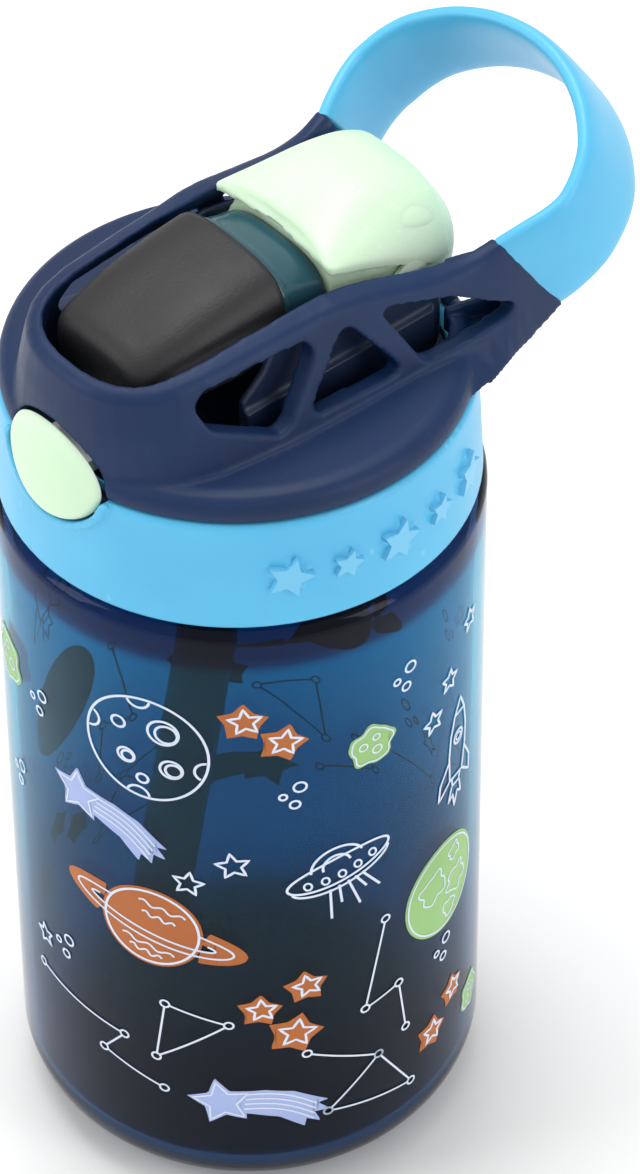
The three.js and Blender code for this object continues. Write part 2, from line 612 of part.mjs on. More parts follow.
// ---- Spout housing inside the frame ---------------------------------------------------------------
function spoutCradle() {
  const z0 = CAP_FLOOR_TOP + 0.2;
  const side = [
    [-11, z0], [-11, above(27.5)], [-7, above(31)], [-4, above(36.4)],
    [PIVOT_Y - 16, above(36.8)], [PIVOT_Y - 8, above(35.2)], [PIVOT_Y - 2, above(33.6)],
    [PIVOT_Y + 5.1, above(32.2)], [PIVOT_Y + 5.1, above(20)], [PIVOT_Y + 4.5, z0],
  ];
  const heelX = WELL_HALF_WIDTH + HEEL_WIDTH;
  const cheek = prismX(side, WELL_HALF_WIDTH, WELL_HALF_WIDTH + CHEEK_WALL);
  const heel = prismX([
    [-11, z0], [-11, above(26)], [PIVOT_Y + 3, above(26)], [PIVOT_Y + 3, z0],
  ], WELL_HALF_WIDTH, heelX);
  // a floor ties the two cheeks together and leaves room for the port seal, the vent and the barrel
  const floor = block(-heelX, heelX, -11, 10, z0, z0 + 1.6);
  // the foot drops in through the collar's top lip
  const below = disc(FRAME_RADIUS, z0 - 1, FRAME_BASE, 0, 0, ROUND_SEGMENTS);
  const hole = disc(COLLAR_LIP_BORE - 0.6, z0 - 1, FRAME_BASE, 0, 0, ROUND_SEGMENTS);
  const cradle = withMirror(cheek.add(heel)).add(floor).subtract(below.subtract(hole));
  return cradle.subtract(barrelSweep()).subtract(drum(PIVOT_PIN_RADIUS + 0.1, -heelX, heelX, PIVOT_Y, PIVOT_Z));
}

function pivotBushing() {
  const x0 = BARREL_HALF_LENGTH + GAP;
  const x1 = WELL_HALF_WIDTH - 0.1;
  const bore = PIVOT_PIN_RADIUS + 0.1;
  const profile = [[bore, x0], [BUSHING_RADIUS - 0.4, x0], [BUSHING_RADIUS, x1], [bore, x1], [bore, x0]];
  return turnedSideways(profile, PIVOT_Y, PIVOT_Z);
}

function pivotPin() {
  const x0 = CHANNEL_RADIUS + 1.6;
  const x1 = WELL_HALF_WIDTH + CHEEK_WALL;
  const profile = [
    [0, x0], [PIVOT_PIN_RADIUS - 0.3, x0], [PIVOT_PIN_RADIUS, x0 + 0.4], [PIVOT_PIN_RADIUS, x1], [0, x1],
  ];
  return turnedSideways(profile, PIVOT_Y, PIVOT_Z, SMALL_SEGMENTS);
}

// Closed coils round the right-hand pin with one short leg at each end.
function torsionSpring() {
  const radius = PIVOT_PIN_RADIUS + 1.3;
  const turns = 3;
  const steps = turns * 12;
  const points = [];
  for (let i = 0; i <= steps; i++) {
    const angle = (i / steps) * turns * 2 * Math.PI;
    const x = 7 + (i / steps) * turns * SPRING_WIRE * 2.6;
    points.push(new THREE.Vector3(x, PIVOT_Y + radius * Math.cos(angle), PIVOT_Z + radius * Math.sin(angle)));
  }
  const path = new THREE.CatmullRomCurve3(points);
  const shape = new THREE.Shape(arc(0, 0, SPRING_WIRE, 0, 300, 5).map((p) => new THREE.Vector2(...p)));
  return toSolid(new THREE.ExtrudeGeometry(shape, { steps, extrudePath: path, bevelEnabled: false }));
}

// ---- Flip-up spout --------------------------------------------------------------------------------
// Radius of the barrel at a distance sideways from its middle: nearly straight, then rounding over.
function barrelRadius(x, grow = 0) {
  const u = Math.min(1, Math.abs(x) / BARREL_HALF_LENGTH);
  return BARREL_END_RADIUS + grow + (BARREL_RADIUS - BARREL_END_RADIUS) * Math.sqrt(1 - u ** 3.5);
}

function barrelProfile(grow) {
  const offsets = [-1, -0.985, -0.93, -0.82, -0.6, -0.3, 0, 0.3, 0.6, 0.82, 0.93, 0.985, 1];
  return offsets.map((u) => [barrelRadius(u * BARREL_HALF_LENGTH, grow), u * (BARREL_HALF_LENGTH + grow)]);
}

function hubBarrel() {
  const half = BARREL_HALF_LENGTH;
  let barrel = turnedSideways([[0, -half], ...barrelProfile(0), [0, half]], PIVOT_Y, PIVOT_Z, 40);
  // a neck at the front that the tube plugs into
  const front = spoutSlice(NECK_FRONT_Y, half, 41.2, 24.6, 3.2);
  barrel = barrel.add(skinned([front, spoutSlice(PIVOT_Y - 2, half - 0.6, 41.2, 24.6, 3.2)]));
  const channel = prismY(circle(CHANNEL_RADIUS), PIVOT_Y - 20, PIVOT_Y + 20).translate([0, 0, PIVOT_Z]);
  const socket = skinned([
    spoutSlice(NECK_FRONT_Y - 1, 7.8, 39.3, 27.7, 2.2), spoutSlice(NECK_FRONT_Y + 6.1, 7.8, 38, 28, 2.2),
  ]);
  const pinBore = drum(PIVOT_PIN_RADIUS + 0.2, CHANNEL_RADIUS + 1.4, half + 1, PIVOT_Y, PIVOT_Z);
  const springRoom = drum(PIVOT_PIN_RADIUS + 2.2, 6.2, half + 1, PIVOT_Y, PIVOT_Z);
  return barrel.subtract(channel).subtract(socket).subtract(withMirror(pinBore)).subtract(springRoom);
}

function circle(radius, count = SMALL_SEGMENTS) {
  return squaredOval(radius, radius, 2, count);
}

// Arched slice of the thumb hood, placed from the pivot: flat-topped at the front, rounder towards the back.
function hoodSlice(offset, halfWidth, crown, hem, power) {
  const y = PIVOT_Y + offset;
  const out = [];
  const steps = 18;
  for (let i = 0; i <= steps; i++) {
    const u = Math.sin(Math.PI * (i / steps - 0.5));
    const rise = Math.sqrt(Math.max(0, 1 - Math.abs(u) ** power));
    out.push([u * halfWidth, y, above(hem + (crown - hem) * rise)]);
  }
  return out;
}

function thumbHood() {
  const w = HOOD_HALF_WIDTH;
  const rows = [
    hoodSlice(-15.3, w - 0.9, 43, 41.9, 14), hoodSlice(-14.8, w - 0.3, 43.8, 41.5, 12),
    hoodSlice(-11, w, 44.9, 39.8, 8), hoodSlice(-6, w, 46, 37.4, 5), hoodSlice(-1, w, 46.4, 35.2, 4),
    hoodSlice(3.5, w, 45.8, 33.8, 3.6), hoodSlice(6.2, w - 0.2, 44.6, 33, 3.6),
    hoodSlice(7.2, w - 0.9, 43.4, 33.6, 3.6),
  ];
  const hood = skinned(rows);
  const half = BARREL_HALF_LENGTH + 0.2;
  const seat = turnedSideways([[0, -half], ...barrelProfile(0.2), [0, half]], PIVOT_Y, PIVOT_Z, 40);
  const neckSeat = skinned([
    spoutSlice(PIVOT_Y - 22, half, 41.5, 24, 3.2), spoutSlice(PIVOT_Y - 1, half - 0.6, 41.5, 24, 3.2),
  ]);
  const pads = drum(HOOD_HEM_CLEARANCE, -20, 20, PIVOT_Y, PIVOT_Z, 40);
  return hood.subtract(seat).subtract(neckSeat).subtract(pads);
}

function spoutSlice(y, halfWidth, crown, bottom, power = 2.7, count = 28) {
  const middle = (crown + bottom) / 2;
  return squaredOval(halfWidth, (crown - bottom) / 2, power, count).map(([x, h]) => [x, y, above(middle + h)]);
}

function spoutChannel(y0, y1, rise) {
  return prismY(circle(CHANNEL_RADIUS), y0, y1).translate([0, 0, above(rise)]);
}

function spoutTube() {
  const rear = skinned([
    spoutSlice(MOUTH_REAR_Y + GAP, TUBE_HALF_WIDTH, 42.4, 25.5),
    spoutSlice(NECK_FRONT_Y - 2.2, TUBE_HALF_WIDTH - 0.3, 40.8, 25.2),
    spoutSlice(NECK_FRONT_Y - GAP, TUBE_HALF_WIDTH - 0.3, 40.2, 25.2),
  ]);
  const shoulder = spoutSlice(MOUTH_REAR_Y + 1.7, 7.5, 39, 28, 2.2);
  const core = skinned([spoutSlice(MOUTH_FRONT_Y + 3.4, 6.5, 37, 29.5, 2.2), shoulder]);
  const plug = skinned([shoulder, spoutSlice(NECK_FRONT_Y + 5.8, 7.5, 37.6, 28.4, 2.2)]);
  return rear.add(core).add(plug).subtract(spoutChannel(-30, 30, PIVOT_RISE));
}

function mouthpiece() {
  const rows = [
    spoutSlice(MOUTH_FRONT_Y, 8.6, 37.4, 28.8), spoutSlice(MOUTH_FRONT_Y + 0.5, 9.8, 38.5, 27.8),
    spoutSlice(MOUTH_FRONT_Y + 1.6, MOUTH_FRONT_HALF_WIDTH, 39.2, 27.2),
    spoutSlice(MOUTH_FRONT_Y + 6.4, 11.3, 41, 26.8), spoutSlice(MOUTH_REAR_Y - 9.3, 12.1, 43, 26.3),
    spoutSlice(MOUTH_REAR_Y - 1.3, MOUTH_REAR_HALF_WIDTH, 44.2, 26), spoutSlice(MOUTH_REAR_Y, 12, 44, 26.2),
  ];
  const pocket = skinned([
    spoutSlice(MOUTH_FRONT_Y + 3.2, 6.7, 37.2, 29.3, 2.2), spoutSlice(MOUTH_REAR_Y + 1.7, 7.7, 39.2, 27.8, 2.2),
  ]);
  return skinned(rows).subtract(pocket).subtract(spoutChannel(-40, 0, PIVOT_RISE));
}

// ---- Button and latch -----------------------------------------------------------------------------
// Button layers follow the round cap behind it; the last ones swell into a shallow dome.
function releaseButton() {
  const shift = BUTTON_TRAVEL + 0.2;
  const layers = [
    [6.5, 0], [0, 0], [0, BUTTON_RIM], [-0.7, BUTTON_RIM + 0.5], [-2.2, BUTTON_RIM + 0.9],
    [-4.6, BUTTON_RIM + BUTTON_DOME - 0.1], [-7.2, BUTTON_RIM + BUTTON_DOME],
  ];
  const rows = layers.map(([shrink, out]) => buttonOutline(-Math.abs(shrink)).map(([x, z]) => {
    const y = -shift - Math.sqrt((BUTTON_SEAT_RADIUS + out) ** 2 - x * x) + z * Math.tan(BUTTON_TILT);
    return [x, y, above(BUTTON_RISE) + z];
  }));
  return skinned(rows);
}

function latchSlider() {
  const z0 = above(BUTTON_RISE) - 0.5;
  const plate = block(-5, 5, BUTTON_BACK_Y + 1.1, -21, z0 + 0.4, z0 + 2.6);
  const hook = block(-4, 4, -30, -28.4, z0 + 2.4, above(27));
  return plate.add(hook);
}

function buttonSpring() {
  const centre = above(BUTTON_RISE) + 1.3;
  const radius = 1.9;
  const turns = 5;
  const steps = turns * 12;
  const points = [];
  for (let i = 0; i <= steps; i++) {
    const angle = (i / steps) * turns * 2 * Math.PI;
    const y = -20.2 + (i / steps) * 8.2;
    points.push(new THREE.Vector3(radius * Math.cos(angle), y, centre + radius * Math.sin(angle)));
  }
  const path = new THREE.CatmullRomCurve3(points);
  const shape = new THREE.Shape(arc(0, 0, SPRING_WIRE, 0, 300, 5).map((p) => new THREE.Vector2(...p)));
  return toSolid(new THREE.ExtrudeGeometry(shape, { steps, extrudePath: path, bevelEnabled: false }));
}

// ---- Carrying loop --------------------------------------------------------------------------------
// Places a point given by sideways distance, distance along the loop's plane and distance across the band.
function onLoop(x, along, across) {
  const c = Math.cos(LOOP_TILT);
  const s = Math.sin(LOOP_TILT);
  return [x, SEAM_TOP[1] + c * along + s * across, above(SEAM_TOP[2]) + s * along - c * across];
}

// Outer edge of the loop from seam to crown: [x, share of the loop's depth].
const LOOP_OUTLINE = [
  [DRAWN_SEAM_X, 0], [22.6, 0.108], [24, 0.258], [24.3, 0.386], [22.9, 0.556], [20.1, 0.705],
  [14.6, 0.861], [7.8, 0.963], [0, 1],
];

function carryLoop() {
  const spread = SEAM_TOP[0] / DRAWN_SEAM_X;
  const half = LOOP_OUTLINE.map(([x, s]) => [x * spread, s * LOOP_DEPTH]);
  half[0][1] = GAP;
  const all = [...half.map(([x, s]) => [-x, s]), ...half.slice(0, -1).reverse()];
  const points = all.map(([x, s]) => new THREE.Vector3(x, s, 0));
  const path = new THREE.CatmullRomCurve3(points, false, 'centripetal');
  const steps = 40;
  const rows = [];
  for (let i = 0; i <= steps; i++) {
    const t = i / steps;
    const p = path.getPoint(t);
    const tangent = path.getTangent(t);
    const inward = [tangent.y, -tangent.x];
    const settle = Math.min(1, Math.max(0, p.y) / 13);
    const ease = settle * settle * (3 - 2 * settle);
    const start = 1.5 * ease;
    const width = SEAM_WIDTH + (LOOP_BAND_WIDTH - SEAM_WIDTH) * ease;
    const outline = squaredOval(LOOP_THICKNESS / 2, width / 2, 4, 16);
    const lean = Math.sign(p.x) * ROOT_FLARE * (1 - ease);
    rows.push(outline.map(([depth, across]) => {
      const push = LOOP_THICKNESS / 2 + depth;
      const low = across / width + 0.5;
      return onLoop(p.x + lean * low + inward[0] * push, p.y + inward[1] * push, start + width * low);
    }));
  }
  return skinned(rows);
}

// ---- Straw ----------------------------------------------------------------------------------------
function strawAdapter() {
  const top = CAP_FLOOR - 0.2;
  const plan = rounded([
    [-7, -8], [7, -8], [7, PIVOT_Y - 4], [5.6, PIVOT_Y + 4], [-5.6, PIVOT_Y + 4], [-7, PIVOT_Y - 4],
  ], 3, 4);
  const duct = prismZ(plan, top - 6, top);
  const socketRadius = STRAW_RADIUS + GAP + STRAW_SOCKET_WALL;
  const socket = disc(socketRadius, top - 15, top - 5, 0, STRAW_TOP_Y, SMALL_SEGMENTS);
  const end = PIVOT_Y + 1.5;
  const hollow = prismZ(rounded([[-4, -5], [4, -5], [4, end], [-4, end]], 2.5, 4), top - 4.6, top - 1.4);
  const portHole = disc(CHANNEL_RADIUS, top - 3, top + 1, 0, PIVOT_Y);
  const strawHole = disc(STRAW_RADIUS + GAP, top - 16, top - 6.2, 0, STRAW_TOP_Y);
  const throat = disc(STRAW_BORE - 0.4, top - 8, top - 3, 0, STRAW_TOP_Y);
  return duct.add(socket).subtract(hollow).subtract(portHole).subtract(strawHole).subtract(throat);
}

function straw() {
  const top = CAP_FLOOR - 7;
  const collarEnd = CAP_FLOOR - 16.5;
  const foot = BASE_THICKNESS + 4;
  const line = [
    [STRAW_TOP_Y, top], [STRAW_TOP_Y, collarEnd], [STRAW_TOP_Y - 0.8, collarEnd - 6],
    [STRAW_FOOT_Y + 3, foot + 18], [STRAW_FOOT_Y, foot],
  ];
  const points = line.map(([y, z]) => new THREE.Vector3(0, y, z));
  const path = new THREE.CatmullRomCurve3(points, false, 'centripetal');
  const tube = (radius) => {
    const steps = 14;
    const rows = [];
    for (let i = 0; i <= steps; i++) {
      const p = path.getPoint(i / steps);
      const d = path.getTangent(i / steps);
      const side = [0, -d.z, d.y];
      rows.push(circle(radius, 16).map(([a, b]) => [a, p.y + side[1] * b, p.z + side[2] * b]));
    }
    return skinned(rows);
  };
  const bore = tube(STRAW_BORE);
  const ends = disc(STRAW_BORE, top - 0.5, top + 5, 0, STRAW_TOP_Y);
  return tube(STRAW_RADIUS).subtract(bore).subtract(ends);
}

// ---- Assembly -------------------------------------------------------------------------------------
const COLOURS = {
  body_blue: { color: 0x0d4a78, roughness: 0.12 },
  sky_blue: { color: 0x5cbfe6, roughness: 0.4 },
  navy: { color: 0x22375c, roughness: 0.45 },
  dark_navy: { color: 0x16233f, roughness: 0.5 },
  pale_green: { color: 0xd6efd2, roughness: 0.4 },
  charcoal: { color: 0x3e4044, roughness: 0.6 },
  teal: { color: 0x1f4a52, roughness: 0.25 },
  white: { color: 0xe6e8ea, roughness: 0.5 },
  clear_straw: { color: 0x24324f, roughness: 0.3 },
  steel: { color: 0xb9bcc0, roughness: 0.3, metalness: 1 },
};

const object = new THREE.Group();
object.name = 'kids_bottle';

function addPiece(name, solid, colour) {
  const { color, roughness, metalness = 0 } = COLOURS[colour];
  const material = new THREE.MeshStandardMaterial({ color, roughness, metalness });
  material.name = colour;
  const mesh = new THREE.Mesh(toGeometry(solid), material);
  mesh.name = name;
  object.add(mesh);
}

addPiece('bottle_body', bottleBody(), 'body_blue');
addPiece('neck_gasket', neckGasket(), 'white');
addPiece('screw_cap', screwCap(), 'dark_navy');
addPiece('collar_ring', collarRing(), 'sky_blue');
addPiece('lid_frame', lidFrame(), 'navy');
addPiece('spout_cradle', spoutCradle(), 'dark_navy');
addPiece('carry_loop', carryLoop(), 'sky_blue');
addPiece('port_seal', portSeal(), 'white');
addPiece('vent_valve', ventValve(), 'white');
addPiece('pivot_bushing_right', pivotBushing(), 'white');
addPiece('pivot_bushing_left', mirrored(pivotBushing()), 'white');
addPiece('pivot_pin_right', pivotPin(), 'steel');
addPiece('pivot_pin_left', mirrored(pivotPin()), 'steel');
addPiece('torsion_spring', torsionSpring(), 'steel');
addPiece('hub_barrel', hubBarrel(), 'pale_green');
addPiece('thumb_hood', thumbHood(), 'pale_green');
addPiece('spout_tube', spoutTube(), 'teal');
addPiece('mouthpiece', mouthpiece(), 'charcoal');
addPiece('release_button', releaseButton(), 'pale_green');
addPiece('latch_slider', latchSlider(), 'white');
addPiece('button_spring', buttonSpring(), 'steel');
addPiece('straw_adapter', strawAdapter(), 'dark_navy');
addPiece('straw', straw(), 'clear_straw');

export default object;
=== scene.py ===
"""Looks for a child's drinking bottle: clear printed body, two-colour lid and flip-up spout."""
import json
import math

import bmesh
import bpy
from mathutils import Matrix, Vector


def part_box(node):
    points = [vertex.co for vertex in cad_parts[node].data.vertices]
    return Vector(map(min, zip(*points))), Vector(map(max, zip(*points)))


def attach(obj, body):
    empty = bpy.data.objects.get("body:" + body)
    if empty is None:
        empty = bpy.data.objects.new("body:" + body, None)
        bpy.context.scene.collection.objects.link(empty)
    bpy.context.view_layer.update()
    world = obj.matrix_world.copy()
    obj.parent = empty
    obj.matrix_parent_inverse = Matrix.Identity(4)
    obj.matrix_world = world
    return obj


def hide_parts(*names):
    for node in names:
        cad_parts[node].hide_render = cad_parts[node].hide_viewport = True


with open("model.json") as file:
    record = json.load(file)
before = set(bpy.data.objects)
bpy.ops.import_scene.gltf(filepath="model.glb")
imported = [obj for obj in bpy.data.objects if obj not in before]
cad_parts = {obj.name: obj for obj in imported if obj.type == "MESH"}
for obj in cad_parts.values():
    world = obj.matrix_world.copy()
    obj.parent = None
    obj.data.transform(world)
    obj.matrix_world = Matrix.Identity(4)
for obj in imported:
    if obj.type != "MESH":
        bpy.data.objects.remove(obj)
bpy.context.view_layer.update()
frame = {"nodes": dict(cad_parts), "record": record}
NODES = frame["nodes"]
BODY_OF = {node: body for body, nodes in frame["record"]["behaviour"]["bodies"].items() for node in nodes}
MM = 0.001

# ---- Places and sizes, in millimetres -----------------------------------------------------------
BODY_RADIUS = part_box("bottle_body")[1][0] / MM
COLLAR_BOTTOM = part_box("collar_ring")[0][2] / MM
NECK_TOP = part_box("bottle_body")[1][2] / MM
JOINTS = {joint["name"]: joint for joint in frame["record"]["behaviour"]["joints"]}
PIVOT = JOINTS["spout_flip"]["pos_m"]
PIVOT_Y = PIVOT[1] / MM
PIVOT_Z = PIVOT[2] / MM
MOST_QUADS = 90000  # in one smooth copy
CAD_FACETS = 56  # flat sides of the turned CAD pieces, taken out of their smooth copies

# ---- Camera, floor and light --------------------------------------------------------------------


def make_camera():
    data = bpy.data.cameras.new("camera")
    data.sensor_fit = "VERTICAL"
    data.sensor_height = 36.0
    data.lens = 36.0 * 5430.4 / 1174.0
    data.clip_start = 0.05
    data.clip_end = 20.0
    camera = bpy.data.objects.new("camera", data)
    bpy.context.scene.collection.objects.link(camera)
    azimuth = math.radians(51.0)
    yaw = 0.019875
    pitch = 0.763772
    roll = -0.007622
    forward = Vector((math.sin(yaw) * math.cos(pitch), math.cos(yaw) * math.cos(pitch), -math.sin(pitch)))
    level = Vector((math.cos(yaw), -math.sin(yaw), 0.0))
    upright = level.cross(forward)
    right = level * math.cos(roll) + upright * math.sin(roll)
    up = upright * math.cos(roll) - level * math.sin(roll)
    turn = Matrix.Rotation(azimuth, 3, "Z")
    place = turn @ Vector((0.0, -0.600, 0.54812)) + Vector((0, 0, 127.3 * MM))
    axes = Matrix((turn @ right, turn @ up, turn @ -forward)).transposed()
    camera.matrix_world = Matrix.Translation(place) @ axes.to_4x4()
    bpy.context.scene.camera = camera
    return camera


def make_floor():
    mesh = bpy.data.meshes.new("floor")
    size = 3.0
    corners = [(-size, -size, 0), (size, -size, 0), (size, size, 0), (-size, size, 0)]
    mesh.from_pydata(corners, [], [(0, 1, 2, 3)])
    floor = bpy.data.objects.new("floor", mesh)
    bpy.context.scene.collection.objects.link(floor)
    material = bpy.data.materials.new("floor")
    material.use_nodes = True
    shader = material.node_tree.nodes["Principled BSDF"]
    shader.inputs["Base Color"].default_value = (0.95, 0.95, 0.95, 1)
    shader.inputs["Roughness"].default_value = 0.7
    mesh.materials.append(material)
    return floor


def add_area_light(name, place, target, size, power, colour=(1, 1, 1)):
    data = bpy.data.lights.new(name, "AREA")
    data.shape = "RECTANGLE"
    data.size, data.size_y = size
    data.energy = power
    data.color = colour
    light = bpy.data.objects.new(name, data)
    bpy.context.scene.collection.objects.link(light)
    light.location = place
    light.rotation_euler = (Vector(target) - Vector(place)).to_track_quat("-Z", "Y").to_euler()
    return light


def make_lights():
    centre = (0, 0, 0.12)
    add_area_light("overhead_light", (-0.35, 0.1, 1.3), centre, (0.8, 0.8), 9)
    add_area_light("left_light", (-0.5, -1.0, 0.7), centre, (0.4, 0.9), 4)
    add_area_light("right_light", (1.1, 0.35, 0.6), centre, (0.35, 0.9), 3.5)
    world = bpy.data.worlds.new("studio")
    world.use_nodes = True
    world.node_tree.nodes["Background"].inputs["Color"].default_value = (1, 1, 1, 1)
    world.node_tree.nodes["Background"].inputs["Strength"].default_value = 0.74
    bpy.context.scene.world = world
    bpy.context.scene.view_settings.view_transform = "Standard"


# ---- Surface effects shared by the materials ----------------------------------------------------


def linear(hex_colour):
    values = [int(hex_colour[i:i + 2], 16) / 255 for i in (0, 2, 4)]
    return tuple(v / 12.92 if v <= 0.04045 else ((v + 0.055) / 1.055) ** 2.4 for v in values) + (1.0,)


def new_group(name, inputs, outputs):
    group = bpy.data.node_groups.new(name, "ShaderNodeTree")
    for label, kind, value in inputs:
        socket = group.interface.new_socket(label, in_out="INPUT", socket_type=kind)
        socket.default_value = value
    for label, kind in outputs:
        group.interface.new_socket(label, in_out="OUTPUT", socket_type=kind)
    return group, group.nodes.new("NodeGroupInput"), group.nodes.new("NodeGroupOutput")


def add_noise(tree, coordinates, scale, detail, roughness=0.5):
    noise = tree.nodes.new("ShaderNodeTexNoise")
    noise.inputs["Detail"].default_value = detail
    noise.inputs["Roughness"].default_value = roughness
    tree.links.new(coordinates, noise.inputs["Vector"])
    if hasattr(scale, "is_linked"):
        tree.links.new(scale, noise.inputs["Scale"])
    else:
        noise.inputs["Scale"].default_value = scale
    return noise


def mix_colours(tree, factor, first, second):
    mix = tree.nodes.new("ShaderNodeMix")
    mix.data_type = "RGBA"
    for label, value in (("Factor", factor), ("A", first), ("B", second)):
        pick = mix.inputs["Factor"]
        if label != "Factor":
            pick = [s for s in mix.inputs if s.name == label and s.type == "RGBA"][0]
        if hasattr(value, "is_linked"):
            tree.links.new(value, pick)
        else:
            pick.default_value = value
    return [s for s in mix.outputs if s.type == "RGBA"][0]


def map_range(tree, value, low, high, to_low=0.0, to_high=1.0):
    node = tree.nodes.new("ShaderNodeMapRange")
    tree.links.new(value, node.inputs["Value"])
    for label, amount in (("From Min", low), ("From Max", high), ("To Min", to_low), ("To Max", to_high)):
        if hasattr(amount, "is_linked"):
            tree.links.new(amount, node.inputs[label])
        else:
            node.inputs[label].default_value = amount
    return node.outputs["Result"]


def make_moulded_tone():
    """Colour of a moulding: slow drift between two tones, and a lighter tint on raised edges that is a
    painted highlight along with rubbed wear.
    """
    group, inside, out = new_group(
        "moulded_tone",
        [("Coordinates", "NodeSocketVector", (0, 0, 0)), ("Colour", "NodeSocketColor", (1, 1, 1, 1)),
         ("Second Tone", "NodeSocketColor", (1, 1, 1, 1)), ("Edge Tint", "NodeSocketColor", (1, 1, 1, 1)),
         ("Drift Scale", "NodeSocketFloat", 40.0), ("Edge Wear", "NodeSocketFloat", 0.3)],
        [("Colour", "NodeSocketColor")],
    )
    noise = add_noise(group, inside.outputs["Coordinates"], inside.outputs["Drift Scale"], 3.0)
    drift = map_range(group, noise.outputs["Fac"], 0.35, 0.7)
    body = mix_colours(group, drift, inside.outputs["Colour"], inside.outputs["Second Tone"])
    geometry = group.nodes.new("ShaderNodeNewGeometry")
    # Raised edges are painted lighter: a painted highlight, together with some rubbed wear.
    raised = map_range(group, geometry.outputs["Pointiness"], 0.53, 0.62)
    highlight_and_wear_amount = group.nodes.new("ShaderNodeMath")
    highlight_and_wear_amount.operation = "MULTIPLY"
    group.links.new(raised, highlight_and_wear_amount.inputs[0])
    group.links.new(inside.outputs["Edge Wear"], highlight_and_wear_amount.inputs[1])
    colour = mix_colours(group, highlight_and_wear_amount.outputs[0], body, inside.outputs["Edge Tint"])
    group.links.new(colour, out.inputs["Colour"])
    return group


def make_satin_surface():
    """Roughness and height of a moulding: fine tool grain, with a faint patchy polish from handling."""
    group, inside, out = new_group(
        "satin_surface",
        [("Coordinates", "NodeSocketVector", (0, 0, 0)), ("Grain Scale", "NodeSocketFloat", 2600.0),
         ("Polish Scale", "NodeSocketFloat", 60.0), ("Smoothest", "NodeSocketFloat", 0.3),
         ("Roughest", "NodeSocketFloat", 0.45)],
        [("Roughness", "NodeSocketFloat"), ("Height", "NodeSocketFloat")],
    )
    polish = add_noise(group, inside.outputs["Coordinates"], inside.outputs["Polish Scale"], 4.0, 0.6)
    rough = map_range(
        group, polish.outputs["Fac"], 0.3, 0.7, inside.outputs["Smoothest"], inside.outputs["Roughest"])
    grain = add_noise(group, inside.outputs["Coordinates"], inside.outputs["Grain Scale"], 2.0)
    group.links.new(rough, out.inputs["Roughness"])
    group.links.new(grain.outputs["Fac"], out.inputs["Height"])
    return group


def make_height_tint():
    """Colour that passes from a foot tone to a top tone between two heights."""
    group, inside, out = new_group(
        "height_tint",
        [("Coordinates", "NodeSocketVector", (0, 0, 0)), ("Foot", "NodeSocketColor", (0, 0, 0, 1)),
         ("Top", "NodeSocketColor", (1, 1, 1, 1)), ("Low", "NodeSocketFloat", 0.0),
         ("High", "NodeSocketFloat", 0.1),
         ("Shade", "NodeSocketColor", (0, 0, 0, 1)), ("Shade Low", "NodeSocketFloat", 1.0),
         ("Shade High", "NodeSocketFloat", 2.0)],
        [("Colour", "NodeSocketColor")],
    )
    split = group.nodes.new("ShaderNodeSeparateXYZ")
    group.links.new(inside.outputs["Coordinates"], split.inputs[0])
    rise = map_range(group, split.outputs["Z"], inside.outputs["Low"], inside.outputs["High"])
    colour = mix_colours(group, rise, inside.outputs["Foot"], inside.outputs["Top"])
    shade = map_range(group, split.outputs["Z"], inside.outputs["Shade Low"], inside.outputs["Shade High"])
    shaded = mix_colours(group, shade, colour, inside.outputs["Shade"])
    group.links.new(shaded, out.inputs["Colour"])
    return group


def place_group(tree, group, coordinates, **values):
    node = tree.nodes.new("ShaderNodeGroup")
    node.node_tree = group
    tree.links.new(coordinates, node.inputs["Coordinates"])
    for label, value in values.items():
        node.inputs[label.replace("_", " ").title()].default_value = value
    return node


def start_material(name):
    material = bpy.data.materials.new(name)
    material.use_nodes = True
    tree = material.node_tree
    coordinates = tree.nodes.new("ShaderNodeTexCoord").outputs["Object"]
    return material, tree, tree.nodes["Principled BSDF"], coordinates


def add_bump(tree, shader, height, distance, strength=1.0):
    bump = tree.nodes.new("ShaderNodeBump")
    bump.inputs["Distance"].default_value = distance
    bump.inputs["Strength"].default_value = strength
    tree.links.new(height, bump.inputs["Height"])
    tree.links.new(bump.outputs["Normal"], shader.inputs["Normal"])


TONE = make_moulded_tone()
SATIN = make_satin_surface()
HEIGHT_TINT = make_height_tint()
SHADE_FROM, SHADE_TO = 118.5, 120.5  # heights between which the body darkens under the collar
FINE_GRAIN = 0.02 * MM  # height of the tool grain on most mouldings


def moulded_plastic(name, colour, second, edge, smoothest, roughest, highlight_and_wear=0.3, grain=2600.0,
                    bump=FINE_GRAIN, glow=0.0, shine=0.5):
    material, tree, shader, coordinates = start_material(name)
    tone = place_group(tree, TONE, coordinates, colour=linear(colour), second_tone=linear(second),
                       edge_tint=linear(edge), edge_wear=highlight_and_wear)
    satin = place_group(tree, SATIN, coordinates, smoothest=smoothest, roughest=roughest, grain_scale=grain)
    tree.links.new(tone.outputs["Colour"], shader.inputs["Base Color"])
    tree.links.new(satin.outputs["Roughness"], shader.inputs["Roughness"])
    add_bump(tree, shader, satin.outputs["Height"], bump)
    shader.inputs["IOR"].default_value = 1.47
    if glow:
        shader.inputs["Subsurface Weight"].default_value = glow
        shader.inputs["Subsurface Radius"].default_value = (0.7, 1.0, 0.45)
        shader.inputs["Subsurface Scale"].default_value = 1.6 * MM
    shader.inputs["Specular IOR Level"].default_value = shine
    return material


